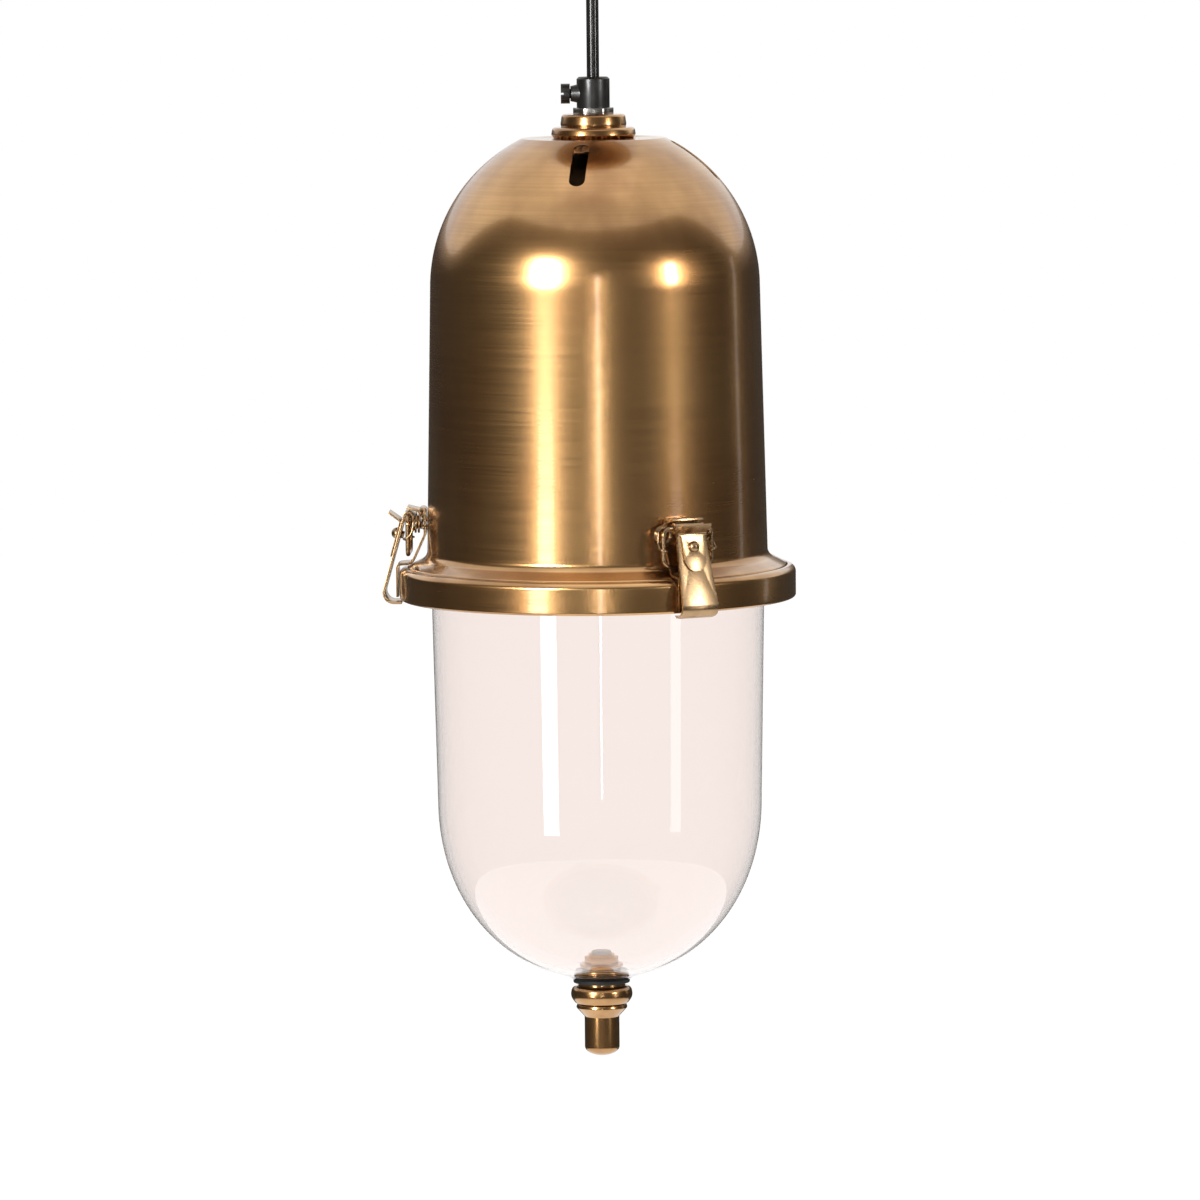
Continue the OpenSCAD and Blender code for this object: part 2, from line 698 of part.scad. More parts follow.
// Glass stem with a cage of four filament rods
module bulb_filaments() {
    low_z = bulb_center_z - 12;
    high_z = bulb_center_z + 22;
    color("gold") at_rim() {
        translate([0, 0, low_z]) cylinder(h = bulb_top_z - cap_h + 18.3 - low_z, r = 2.4);
        for (z = [low_z, high_z]) translate([0, 0, z]) cylinder(h = 1.4, r = 9);
        for (a = [0:90:270]) rotate([0, 0, a + 45]) translate([7.6, 0, low_z]) cylinder(h = high_z - low_z, r = 1);
    }
}

// Turns what is drawn in the plane of r and z to a clip's place
module at_clip(turn) {
    rotate([0, 0, turn - 90]) at_rim() children();
}

// Extrudes an outline of r and z across the clip
module across(w) {
    rotate([90, 0, 0]) linear_extrude(height = w, center = true) children();
}

// Extrudes an outline of width and z outwards from the dome
module outwards() {
    translate([wall_r - 5, 0, 0]) rotate([90, 0, 90]) linear_extrude(height = 40) children();
}

// Two rivets through each bracket and the dome's wall
module bracket_rivets() {
    outer = strip_r + clip_t / 2;
    inner = wall_r - dome_wall - base_rivet_lean;
    color("darkgoldenrod") for (turn = clip_turns)
        at_clip(turn) for (z = base_rivet_zs) translate([0, 0, z]) rotate([0, 90, 0]) {
            translate([0, 0, inner - 1]) cylinder(h = outer - inner + 2, r = base_rivet_r);
            translate([0, 0, outer]) intersection() {
                translate([0, 0, 1 - base_rivet_head_r]) sphere(r = base_rivet_head_r, $fn = 48);
                cylinder(h = 1, r = base_rivet_head_r);
            }
            translate([0, 0, inner - 0.9]) cylinder(h = 0.9, r = base_rivet_head_r);
        }
}

// Bent brass bracket: strip on the dome, leg and foot over the rim, skirt down in front of it
module clip_bracket() {
    path = bent([[strip_r, eye.y], [strip_r, strip_low_z], [leg_foot_r, leg_foot_z], [skirt_r, foot_z], [skirt_r, skirt_z]],
                [4, 3, 1.8]);
    lip = [[eye.x + eye_bore_r + clip_t / 2, eye.y + 0.4], lip_end];
    color("darkgoldenrod") difference() {
        union() {
            across(clip_w) sheet(path, clip_t);
            across(clip_w) sheet(lip, clip_t);
            across(clip_w) translate(eye) circle(r = eye_mid_r + clip_t / 2 + roll_lap, $fn = 48);
        }
        across(clip_w + 2) translate(eye) circle(r = eye_bore_r, $fn = 48);
        for (z = base_rivet_zs)
            translate([strip_r - clip_t, 0, z]) rotate([0, 90, 0]) cylinder(h = 2 * clip_t, r = base_rivet_r + 0.05);
    }
}

// Closed bail of thick wire: two straight ends, two sides, four round corners
module clip_bail() {
    r = bail_d / 2;
    straight_w = bail_w - 2 * bail_corner_r;
    straight_h = bail_h - 2 * bail_corner_r;
    color("darkgoldenrod") translate([pivot.x, 0, pivot.y - bail_h / 2]) rotate([90, 0, 90]) {
        for (s = [-1, 1]) translate([s * bail_w / 2, 0, 0]) rotate([90, 0, 0]) cylinder(h = straight_h, r = r, center = true);
        for (s = [-1, 1]) translate([0, s * bail_h / 2, 0]) rotate([0, 90, 0]) cylinder(h = straight_w, r = r, center = true);
        for (i = [0:3]) let (x = i == 0 || i == 3 ? 1 : -1, y = i < 2 ? 1 : -1)
            translate([x * straight_w / 2, y * straight_h / 2, 0]) rotate([0, 0, 90 * i])
                rotate_extrude(angle = 90) translate([bail_corner_r, 0]) circle(r = r);
    }
}

// Half of the spring wire: from the bracket's eye through a coil to a hook round the bail's side
function spring_half() =
    let (steps = coil_turns * coil_steps, side_t = bail_w / 2)
    let (coil = [for (i = [0:steps]) let (a = 90 + 360 * i / coil_steps)
        [coil_start_r + coil_pitch * i / coil_steps, coil_t + coil_r * -cos(a), coil_z + coil_r * sin(a)]])
    let (hook_arc = [for (a = [0:30:240]) [pivot.x - hook_wire_r * cos(a + 90), side_t + hook_wire_r * sin(a + 90),
                                           coil_z - 6.6 - a / 120]])
    concat([[eye.x, 0, eye.y], [eye.x, clip_w / 2 - 1.2, eye.y], [eye.x + 0.2, clip_w / 2, eye.y - 0.2],
            [eye.x + 0.5, clip_w / 2 + 1.2, eye.y - 1.1]],
           coil, [[92.1, side_t + 1.6, coil_z - 2.4], [92.9, side_t + 1.9, coil_z - 4.8]], hook_arc);

// Whole spring wire: the two halves as one route
spring_route = let (half = spring_half())
    concat([for (i = [len(half) - 1:-1:1]) [half[i].x, -half[i].y, half[i].z]], half);

// Least distance between the surfaces of two stretches of the spring that are half a curl or more apart
spring_least_gap = min([for (i = [0:len(spring_route) - 1]) for (j = [i + coil_steps / 2:len(spring_route) - 1])
    norm(spring_route[i] - spring_route[j])]) - spring_wire_d;
echo(spring_least_gap = spring_least_gap);

// Spring wire with a coil on each side of the bracket
module clip_spring() {
    color("darkgoldenrod") swept(spring_route, spring_wire_d / 2, 6);
}

// Line of the strap's leg: it leaves the eye and meets the hook as a tangent
strap_turn = let (d = hook - pivot) atan2(d.x, -d.y) + asin((hook_r - strap_eye_r) / norm(d));
strap_out = [cos(strap_turn), sin(strap_turn)];
strap_down = [sin(strap_turn), -cos(strap_turn)];

// Point on the strap's leg, s below its eye and out from its middle
function on_strap(s, out = 0) = pivot + strap_out * (strap_eye_r + out) + strap_down * s;

// Outline of width and z that tapers a strap and rounds its lower corners
module strap_front() {
    top = pivot.y + 4;
    low = hook.y - hook_r - 2;
    polygon(concat([[strap_top_w / 2, top], [strap_top_w / 2, pivot.y - 4]],
                   [[strap_low_w / 2, hook.y + 1], [strap_low_w / 2, hook.y - hook_r + 1.2]],
                   [[strap_low_w / 2 - 2, low], [2 - strap_low_w / 2, low]],
                   [[-strap_low_w / 2, hook.y - hook_r + 1.2], [-strap_low_w / 2, hook.y + 1]],
                   [[-strap_top_w / 2, pivot.y - 4], [-strap_top_w / 2, top]]));
}

// Flat strap hung on the bail by a rolled eye, with a hook under the rim ring
module clip_strap() {
    low_arc = [for (a = [strap_turn:-(strap_turn + 90) / 10:-90]) hook + hook_r * [cos(a), sin(a)]];
    path = concat([on_strap(-0.3)], low_arc, [[hook.x, hook.y - hook_r], [hook_tip_r, hook.y - hook_r]]);
    clean = [for (i = [0:len(path) - 1]) if (i == 0 || norm(path[i] - path[i - 1]) > 0.01) path[i]];
    color("tan") difference() {
        intersection() {
            union() {
                across(strap_low_w + 2) sheet(clean, strap_t);
                across(strap_top_w) translate(pivot) circle(r = strap_eye_r + strap_t / 2 + roll_lap, $fn = 64);
            }
            outwards() strap_front();
        }
        across(strap_top_w + 2) translate(pivot) circle(r = bail_d / 2 + pin_gap, $fn = 64);
        rivet_hole();
    }
}

// Hole for the ball rivet through the strap and the tongue
module rivet_hole() {
    at_rivet() translate([0, 0, -4]) cylinder(h = 8, r = rivet_r + 0.05);
}

// Turns +Z to the strap's outward direction at the rivet
module at_rivet() {
    p = on_strap(rivet_at);
    translate([p.x, 0, p.y]) rotate([0, 90 - strap_turn, 0]) children();
}

// Thin plate on the strap with a round lower end and a finger tab bent outwards
module clip_tongue() {
    out = strap_t / 2 + tongue_t / 2 + 0.02;
    path = bent([on_strap(tongue_to, out), on_strap(tongue_from, out), tab_end], [1.4]);
    neck_z = on_strap(tongue_from, out).y - 1.2;
    end_z = on_strap(tongue_to, out).y + tongue_w / 2;
    color("tan") difference() {
        intersection() {
            across(tab_w) sheet(path, tongue_t);
            outwards() {
                translate([-tab_w / 2, neck_z]) square([tab_w, 12]);
                translate([-tongue_w / 2, end_z]) square([tongue_w, neck_z - end_z + 0.5]);
                translate([0, end_z]) circle(r = tongue_w / 2);
            }
        }
        rivet_hole();
    }
}

// Ball-headed rivet that holds the tongue to the strap
module clip_rivet() {
    face = strap_t / 2 + tongue_t + 0.04;
    head_h = 2.6;
    color("darkgoldenrod") at_rivet() {
        translate([0, 0, -strap_t / 2 - 1]) cylinder(h = face + strap_t / 2 + 1.5, r = rivet_r);
        translate([0, 0, face]) intersection() {
            translate([0, 0, head_h - rivet_head_r]) sphere(r = rivet_head_r, $fn = 64);
            cylinder(h = head_h, r = rivet_head_r);
        }
        translate([0, 0, -strap_t / 2 - 1.4 - 0.02]) cylinder(h = 1.4, r = 1.9);
    }
}

// Spun ring under the dome that carries the glass: floor, wall, round shoulder, inward lip
module rim_ring() {
    half = rim_wall / 2;
    path = bent([[ring_hole_r, half], [ring_mid_r, half], [ring_mid_r, rim_h - half], [ring_mouth_r, rim_h - half]],
                [1.5 - half, 3.6 - half]);
    color("darkgoldenrod") at_rim() rotate_extrude() sheet(path, rim_wall);
}

module seat_gasket() {
    color("dimgray") at_rim(rim_wall) ring_plate(flange_r + 1.5, seat_gasket_r + 0.5, seat_gasket_t);
}

module top_gasket() {
    color("dimgray") at_rim(rim_wall + seat_gasket_t + glass_wall) ring_plate(flange_r + 1.5, seat_gasket_r + 1, top_gasket_t);
}

// Middle line of the glass, from its flange to the hole in its round end
function glass_path() =
    let (half = glass_wall / 2, steps = 18, flat_r = outer_washer_d / 2 + 1)
    let (a = glass_low_r - half, b = glass_round - half, q = 2 / glass_power)
    let (round_end = [for (i = [0:steps]) let (t = 82 * i / steps)
        [a * pow(cos(t), q), -glass_straight - b * pow(sin(t), q)]])
    concat(bent([[flange_r, flange_z], [glass_r - half, flange_z], round_end[0]], [4]),
           [for (i = [1:steps]) if (round_end[i].x > flat_r + 2) round_end[i]],
           [[flat_r, glass_bottom_z + half], [glass_hole_r, glass_bottom_z + half]]);

// Clear glass bowl with a flange at its mouth and a hole for the finial's stud
module glass_bowl() {
    color("aliceblue", 0.4) at_rim() rotate_extrude() sheet(glass_path(), glass_wall);
}

module outer_washer() {
    color("dimgray") at_rim(outer_washer_z) ring_plate(outer_washer_d / 2, thread_hole_r, rubber_t);
}

module inner_rubber() {
    color("dimgray") at_rim(inner_rubber_z) ring_plate(inner_washer_d / 2 - 1, thread_hole_r, rubber_t);
}

module inner_washer() {
    color("darkgoldenrod") at_rim(inner_brass_z) ring_plate(inner_washer_d / 2, thread_hole_r, brass_washer_t);
}

// Hexagon nut inside the glass with a turned tier on top
module inner_nut() {
    color("darkgoldenrod") at_rim(inner_nut_z) {
        hex_ring(inner_nut_af, inner_nut_h - inner_nut_tier, thread_r + 0.05, inner_nut_af / sqrt(3) - 0.4);
        translate([0, 0, inner_nut_h - inner_nut_tier]) ring_plate(inner_nut_af / 2 - 1.2, thread_r + 0.05, inner_nut_tier);
    }
}

// Threaded stud from the finial's barrel up through the glass
module finial_stud() {
    low = finial_ring_z - finial_cup_h - 4;
    top = inner_nut_z + inner_nut_h + 1.5;
    color("silver") at_rim(low) cylinder(h = top - low, r = thread_r);
}

// Turned ring with a neck, bulging to its lower edge
module finial_ring() {
    r = finial_ring_d / 2;
    path = bent([[finial_neck_r, finial_ring_h + finial_neck_h], [finial_neck_r, finial_ring_h],
                 [r - 0.8, finial_ring_h - 0.6], [r, finial_ring_h * 0.42], [r - 2.4, 0.6], [r - 6, 0]],
                [0.4, 3, 5, 1.6]);
    color("darkgoldenrod") at_rim(finial_ring_z) difference() {
        rotate_extrude() polygon(concat([[0, finial_ring_h + finial_neck_h]], path, [[0, 0]]));
        translate([0, 0, -1]) cylinder(h = finial_ring_h + finial_neck_h + 2, r = thread_hole_r);
    }
}

// Turned cup and barrel with a rounded end, tapped for the stud
module finial_barrel() {
    r = barrel_d / 2;
    cup_r = finial_cup_d / 2;
    cup_top = finial_ring_z - barrel_z;
    full = barrel_h + barrel_end_h;
    end_arc = [for (a = [0:10:90]) [r * cos(a), -barrel_end_h * sin(a)]];
    outline = concat([[0, cup_top], [cup_r - 1, cup_top], [cup_r, cup_top - 1], [cup_r, cup_top - 2],
                      [r + 1.6, barrel_h + 1.2], [r, barrel_h - 0.6]], end_arc);
    color("darkgoldenrod") at_rim(barrel_z) difference() {
        rotate_extrude() polygon(outline);
        translate([0, 0, barrel_h - 4.2]) cylinder(h = finial_cup_h + 6, r = thread_r + 0.05);
    }
}

ceiling_bracket();
rose_cup();
rose_screws();
terminal_block();
terminal_tubes();
rose_grip();
rose_nut();
rose_grip_screw();
rose_cores();
cord_tail();
cord();
cord_grip();
grip_screw();
top_nut();
collar_top();
collar_base();
nipple();
dome();
dome_washer();
dome_nut();
holder_cap();
holder_shell();
holder_insulator();
holder_screw_shell();
holder_contact();
holder_cores();
bulb_cap();
bulb_glass();
bulb_filaments();
bracket_rivets();
at_clip(clip_turns[0]) clip_bracket();  // clip_bracket_1
at_clip(clip_turns[1]) clip_bracket();  // clip_bracket_2
at_clip(clip_turns[2]) clip_bracket();  // clip_bracket_3
at_clip(clip_turns[0]) clip_spring();  // clip_spring_1
at_clip(clip_turns[1]) clip_spring();  // clip_spring_2
at_clip(clip_turns[2]) clip_spring();  // clip_spring_3
at_clip(clip_turns[0]) clip_bail();  // clip_bail_1
at_clip(clip_turns[1]) clip_bail();  // clip_bail_2
at_clip(clip_turns[2]) clip_bail();  // clip_bail_3
at_clip(clip_turns[0]) clip_strap();  // clip_strap_1
at_clip(clip_turns[1]) clip_strap();  // clip_strap_2
at_clip(clip_turns[2]) clip_strap();  // clip_strap_3
at_clip(clip_turns[0]) clip_tongue();  // clip_tongue_1
at_clip(clip_turns[1]) clip_tongue();  // clip_tongue_2
at_clip(clip_turns[2]) clip_tongue();  // clip_tongue_3
at_clip(clip_turns[0]) clip_rivet();  // clip_rivet_1
at_clip(clip_turns[1]) clip_rivet();  // clip_rivet_2
at_clip(clip_turns[2]) clip_rivet();  // clip_rivet_3
rim_ring();
seat_gasket();
top_gasket();
glass_bowl();
outer_washer();
inner_rubber();
inner_washer();
inner_nut();
finial_stud();
finial_ring();
finial_barrel();
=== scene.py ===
"""Dresses a hanging lamp: spun brass dome, rim ring, clear glass bowl, finial, three spring clips, flex and rose."""

import json
import math

import bmesh
import bpy
from bpy.props import FloatProperty, FloatVectorProperty, IntProperty, PointerProperty
from mathutils import Matrix, Vector
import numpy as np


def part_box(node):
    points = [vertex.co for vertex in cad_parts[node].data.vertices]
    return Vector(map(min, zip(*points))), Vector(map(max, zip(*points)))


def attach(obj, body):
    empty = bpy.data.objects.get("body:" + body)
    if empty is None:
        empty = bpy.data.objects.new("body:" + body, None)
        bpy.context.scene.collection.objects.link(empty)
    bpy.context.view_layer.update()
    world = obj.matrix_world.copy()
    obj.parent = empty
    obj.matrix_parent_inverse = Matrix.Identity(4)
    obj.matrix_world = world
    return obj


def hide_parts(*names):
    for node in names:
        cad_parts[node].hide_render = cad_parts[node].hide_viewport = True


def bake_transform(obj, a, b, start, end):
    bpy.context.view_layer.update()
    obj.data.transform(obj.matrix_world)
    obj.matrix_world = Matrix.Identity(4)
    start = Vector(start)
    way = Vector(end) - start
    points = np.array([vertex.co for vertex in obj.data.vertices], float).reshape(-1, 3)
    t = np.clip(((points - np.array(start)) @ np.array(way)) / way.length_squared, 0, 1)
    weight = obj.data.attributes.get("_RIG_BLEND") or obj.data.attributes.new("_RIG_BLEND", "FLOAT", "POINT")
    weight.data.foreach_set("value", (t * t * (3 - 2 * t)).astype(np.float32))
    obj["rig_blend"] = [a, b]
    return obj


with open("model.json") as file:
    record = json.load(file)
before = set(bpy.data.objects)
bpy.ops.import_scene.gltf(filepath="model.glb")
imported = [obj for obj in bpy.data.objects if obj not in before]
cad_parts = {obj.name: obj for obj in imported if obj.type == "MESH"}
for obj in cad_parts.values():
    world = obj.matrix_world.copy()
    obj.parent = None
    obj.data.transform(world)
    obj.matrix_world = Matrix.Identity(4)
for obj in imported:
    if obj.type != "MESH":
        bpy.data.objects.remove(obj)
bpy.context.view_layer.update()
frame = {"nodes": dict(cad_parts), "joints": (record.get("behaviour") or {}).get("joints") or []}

bl_info = {
    "name": "Hanging Lamp",
    "version": (1, 0, 0),
    "blender": (4, 5, 0),
    "location": "View3D > Sidebar > Lamp",
    "description": "Brass dome lamp with a clear glass bowl, spring clips and a ceiling rose",
    "category": "Add Mesh",
}

MM = 0.001
RIM_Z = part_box("rim_ring")[0].z / MM
RIM_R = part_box("rim_ring")[1].x / MM
RIM_H = (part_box("rim_ring")[1].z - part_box("rim_ring")[0].z) / MM
DOME_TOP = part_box("dome")[1].z / MM - RIM_Z
HEM_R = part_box("dome")[1].x / MM
HEM_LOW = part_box("dome")[0].z / MM - RIM_Z
BOWL_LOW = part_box("glass_bowl")[0].z / MM - RIM_Z
CLIPS = (1, 2, 3)
FINISHES = {}


def linear(hex_colour):
    """An sRGB hex colour as linear red, green and blue."""
    parts = [int(hex_colour[i : i + 2], 16) / 255 for i in (1, 3, 5)]
    return tuple(c / 12.92 if c <= 0.04045 else ((c + 0.055) / 1.055) ** 2.4 for c in parts)


def colour_property(name, description, hex_colour):
    return FloatVectorProperty(
        name=name, description=description, subtype="COLOR", min=0, max=1, default=linear(hex_colour)
    )


def length_property(name, description, millimetres):
    return FloatProperty(name=name, description=description, min=0, default=millimetres)


class LampSizes(bpy.types.PropertyGroup):
    """Sizes of the lamp's turned and bent pieces, in millimetres"""

    crown_r: length_property("Crown radius", "Radius of the dome's round shoulder", 82.6)
    flat_r: length_property("Flat radius", "Radius of the dome's flat top", 36.0)
    wall_r: length_property("Wall radius", "Radius of the dome's wall above the flare", 85.5)
    sheet: length_property("Sheet", "Thickness of the spun brass", 1.2)
    vent_w: length_property("Vent width", "Width of a vent slot", 8.0)
    glass_r: length_property("Bowl radius", "Outer radius of the bowl at the rim", 83.6)
    glass_low_r: length_property("Bowl lower radius", "Outer radius where the bowl's round end begins", 81.5)
    glass_straight: length_property("Bowl wall", "Depth of the bowl's wall under the rim", 101.5)
    glass_wall: length_property("Glass thickness", "Thickness of the glass", 3.0)
    flex_d: length_property("Flex", "Outer diameter of the flex", 6.2)
    spring_d: length_property("Spring wire", "Diameter of the spring wire", 1.1)
    bail_d: length_property("Bail wire", "Diameter of the bail wire", 2.2)
    segments: IntProperty(name="Segments", description="Steps round a turned piece", min=48, default=256)


class LampColours(bpy.types.PropertyGroup):
    """Colours of the lamp's finishes"""

    brass: colour_property("Brass", "Clean part of the aged brass", "#CFA26A")
    patina: colour_property("Patina", "Brown patina of the aged brass", "#9A6E42")
    clip_brass: colour_property("Clip brass", "Pale brass of the clips", "#B3946F")
    steel: colour_property("Steel", "Zinc-plated steel", "#B9B6B0")
    plastic: colour_property("Plastic", "Black moulded plastic", "#141312")
    rubber: colour_property("Rubber", "Black rubber", "#1B1A19")
    glass: colour_property("Glass", "Clear glass with a faint warm tint", "#FBF4F1")
    porcelain: colour_property("Porcelain", "Glazed porcelain", "#EDE6D6")
    core: colour_property("Cores", "Brown wire insulation", "#5A3418")


def sizes():
    return bpy.context.scene.lamp_sizes


def colours():
    return bpy.context.scene.lamp_colours


# --- Materials -------------------------------------------------------------


def add_node(tree, kind, inputs=None, **settings):
    """Adds a node, sets its settings, and fills or links its inputs."""
    new = tree.nodes.new(kind)
    for name, value in settings.items():
        setattr(new, name, value)
    for key, value in (inputs or {}).items():
        if isinstance(value, bpy.types.NodeSocket):
            tree.links.new(value, new.inputs[key])
        else:
            new.inputs[key].default_value = value
    return new


def new_material(name):
    """An empty node material with its shader and output, as (material, tree, shader)."""
    made = bpy.data.materials.new(name)
    made.use_nodes = True
    tree = made.node_tree
    tree.nodes.clear()
    shader = add_node(tree, "ShaderNodeBsdfPrincipled")
    add_node(tree, "ShaderNodeOutputMaterial", {"Surface": shader.outputs["BSDF"]})
    return made, tree, shader


def stretched(tree, scale, detail=3.0, roughness=0.55, place=(0, 0, 0)):
    """Noise on the piece's own coordinates, scaled separately along X, Y and Z (per metre)."""
    place_node = add_node(tree, "ShaderNodeTexCoord")
    scaled = add_node(
        tree,
        "ShaderNodeMapping",
        {"Vector": place_node.outputs["Object"], "Scale": scale, "Location": place},
    )
    noise = add_node(
        tree,
        "ShaderNodeTexNoise",
        {"Vector": scaled.outputs["Vector"], "Scale": 1.0, "Detail": detail, "Roughness": roughness},
    )
    return noise.outputs["Fac"]


def ramp(tree, value, low, high, to_low=0.0, to_high=1.0):
    made = add_node(
        tree,
        "ShaderNodeMapRange",
        {"Value": value, "From Min": low, "From Max": high, "To Min": to_low, "To Max": to_high},
        interpolation_type="SMOOTHSTEP",
    )
    return made.outputs["Result"]


def blend_colours(tree, factor, first, second):
    made = add_node(tree, "ShaderNodeMix", {"Factor": factor}, data_type="RGBA")
    for key, colour in ((6, first), (7, second)):
        if isinstance(colour, bpy.types.NodeSocket):
            tree.links.new(colour, made.inputs[key])
        else:
            made.inputs[key].default_value = (*colour, 1)
    return made.outputs[2]


def spun_brass(name, turning=True):
    """Brass, spun or turned, browned and lacquered.
    The turning lines stretch each reflection up and down, the browning darkens it in soft patches, and the
    lacquer adds the small white core of a highlight and the pale edges of the shoulder."""
    made, tree, shader = new_material(name)
    c = colours()
    # Turning lines are 0.1 to 0.3 mm apart; they are drawn 1 mm apart so that they show.
    lines = stretched(tree, (14, 14, 1000), detail=2.0) if turning else stretched(tree, (300, 300, 300), detail=3.0)
    patches = stretched(tree, (13, 13, 7), detail=4.0, place=(3.1, 1.7, 0.4))
    specks = stretched(tree, (260, 260, 420), detail=4.0, roughness=0.7)
    browned = ramp(tree, patches, 0.34, 0.68)
    toned = blend_colours(tree, browned, c.patina, c.brass)
    dark = tuple(x * 0.78 for x in c.patina)
    lined = blend_colours(tree, ramp(tree, lines, 0.35, 0.68, 0.0, 0.16), toned, dark)
    spotted = blend_colours(tree, ramp(tree, specks, 0.7, 0.82, 0.0, 0.25), lined, dark)
    rough = add_node(
        tree,
        "ShaderNodeMath",
        {0: ramp(tree, lines, 0.3, 0.7, 0.2, 0.24), 1: ramp(tree, patches, 0.3, 0.7, 0.05, -0.01)},
        operation="ADD",
    )
    bump = add_node(tree, "ShaderNodeBump", {"Strength": 0.015, "Distance": 0.0002, "Height": lines})
    tangent = add_node(tree, "ShaderNodeTangent", direction_type="RADIAL", axis="Z")
    for key, value in {
        "Base Color": spotted,
        "Roughness": rough.outputs["Value"],
        "Normal": bump.outputs["Normal"],
        "Tangent": tangent.outputs["Tangent"],
    }.items():
        tree.links.new(value, shader.inputs[key])
    shader.inputs["Metallic"].default_value = 1.0
    shader.inputs["Anisotropic"].default_value = 0.55 if turning else 0.0
    shader.inputs["Coat Weight"].default_value = 0.8
    shader.inputs["Coat Roughness"].default_value = 0.1
    return made


def worn_metal(name, colour, roughness=0.24, variation=0.06, grain=(500, 500, 90)):
    """Sheet or wire metal, bent and rubbed: fine drawn grain, and soft changes of tone where hands and tools rub."""
    made, tree, shader = new_material(name)
    fine = stretched(tree, grain, detail=3.0)
    broad = stretched(tree, (90, 90, 90), detail=3.0, place=(0.7, 2.3, 5.1))
    dull = tuple(x * 0.72 for x in colour)
    toned = blend_colours(tree, ramp(tree, broad, 0.36, 0.66), dull, colour)
    lined = blend_colours(tree, ramp(tree, fine, 0.45, 0.75, 0.0, 0.3), toned, dull)
    bump = add_node(tree, "ShaderNodeBump", {"Strength": 0.02, "Distance": 0.0002, "Height": fine})
    tree.links.new(lined, shader.inputs["Base Color"])
    rough = ramp(tree, broad, 0.3, 0.7, roughness + variation, roughness - variation / 3)
    tree.links.new(rough, shader.inputs["Roughness"])
    tree.links.new(bump.outputs["Normal"], shader.inputs["Normal"])
    shader.inputs["Metallic"].default_value = 1.0
    return made


def moulded(name, colour, roughness=0.4, grain_mm=0.6, strength=0.15, ior=1.5):
    """Plastic, rubber or glaze: one colour with a fine moulded texture, a little dustier in patches."""
    made, tree, shader = new_material(name)
    grain = 1 / (grain_mm * MM)
    fine = stretched(tree, (grain, grain, grain), detail=2.0)
    broad = stretched(tree, (120, 120, 120), detail=3.0)
    dusty = tuple(min(1.0, x * 1.2 + 0.003) for x in colour)
    tree.links.new(blend_colours(tree, ramp(tree, broad, 0.4, 0.7), colour, dusty), shader.inputs["Base Color"])
    tree.links.new(ramp(tree, broad, 0.3, 0.7, roughness * 0.85, roughness * 1.15), shader.inputs["Roughness"])
    bump = add_node(tree, "ShaderNodeBump", {"Strength": strength, "Distance": 0.0001, "Height": fine})
    tree.links.new(bump.outputs["Normal"], shader.inputs["Normal"])
    shader.inputs["IOR"].default_value = ior
    return made


def blown_glass(name, tint):
    """Clear blown soda-lime glass: faint warm tint, and a slow waviness that bends its reflections."""
    made, tree, shader = new_material(name)
    waves = stretched(tree, (22, 22, 9), detail=1.5)
    bump = add_node(tree, "ShaderNodeBump", {"Strength": 0.03, "Distance": 0.002, "Height": waves})
    tree.links.new(bump.outputs["Normal"], shader.inputs["Normal"])
    shader.inputs["Base Color"].default_value = (*tint, 1)
    shader.inputs["Transmission Weight"].default_value = 1.0
    shader.inputs["Roughness"].default_value = 0.0
    shader.inputs["IOR"].default_value = 1.5
    return made


def materials():
    """The lamp's finishes by name, made once."""
    if not FINISHES:
        c = colours()
        FINISHES.update(
            spun=spun_brass("spun_brass_lacquered"),
            turned=spun_brass("turned_brass_lacquered", turning=False),
            clip=worn_metal("bent_brass_sheet", tuple(c.clip_brass)),
            wire=worn_metal("brass_spring_wire", tuple(x * 0.8 for x in c.clip_brass), 0.2, grain=(90, 90, 900)),
            steel=worn_metal("zinc_plated_steel", tuple(c.steel), 0.22),
            bright=worn_metal("bright_brass", linear("#E0B36A"), 0.2),
            plastic=moulded("black_moulded_plastic", tuple(c.plastic), 0.34),
            flex=moulded("black_flex_sheath", tuple(c.plastic), 0.2, 3.0, 0.01),
            rubber=moulded("black_rubber", tuple(c.rubber), 0.6, 0.5, 0.25),
            glass=blown_glass("blown_clear_glass", tuple(c.glass)),
            bulb=blown_glass("bulb_glass", linear("#FFFDF8")),
            porcelain=moulded("glazed_porcelain", tuple(c.porcelain), 0.18, 1.5, 0.05),
            core=moulded("brown_wire_insulation", tuple(c.core), 0.4),
        )
    return FINISHES


# --- Making pieces ---------------------------------------------------------


def corner_arc(a, b, c, r, steps):
    """Points of the arc that rounds corner b between a and c."""
    a, b, c = Vector(a), Vector(b), Vector(c)
    u, w = (a - b).normalized(), (c - b).normalized()
    half = u.angle(w) / 2
    centre = b + (u + w).normalized() * (r / math.sin(half))
    start, end = b + u * (r / math.tan(half)) - centre, b + w * (r / math.tan(half)) - centre
    turn = start.angle_signed(end)
    return [tuple(centre + Matrix.Rotation(-turn * i / steps, 2) @ start) for i in range(steps + 1)]


def rounded(corners, steps=8):
    """Profile points from (r, z, corner radius) entries; a radius of 0 leaves the corner sharp."""
    points = []
    for i, (x, z, r) in enumerate(corners):
        if r and 0 < i < len(corners) - 1:
            points += corner_arc(corners[i - 1][:2], (x, z), corners[i + 1][:2], r, steps)
        else:
            points.append((x, z))
    return points


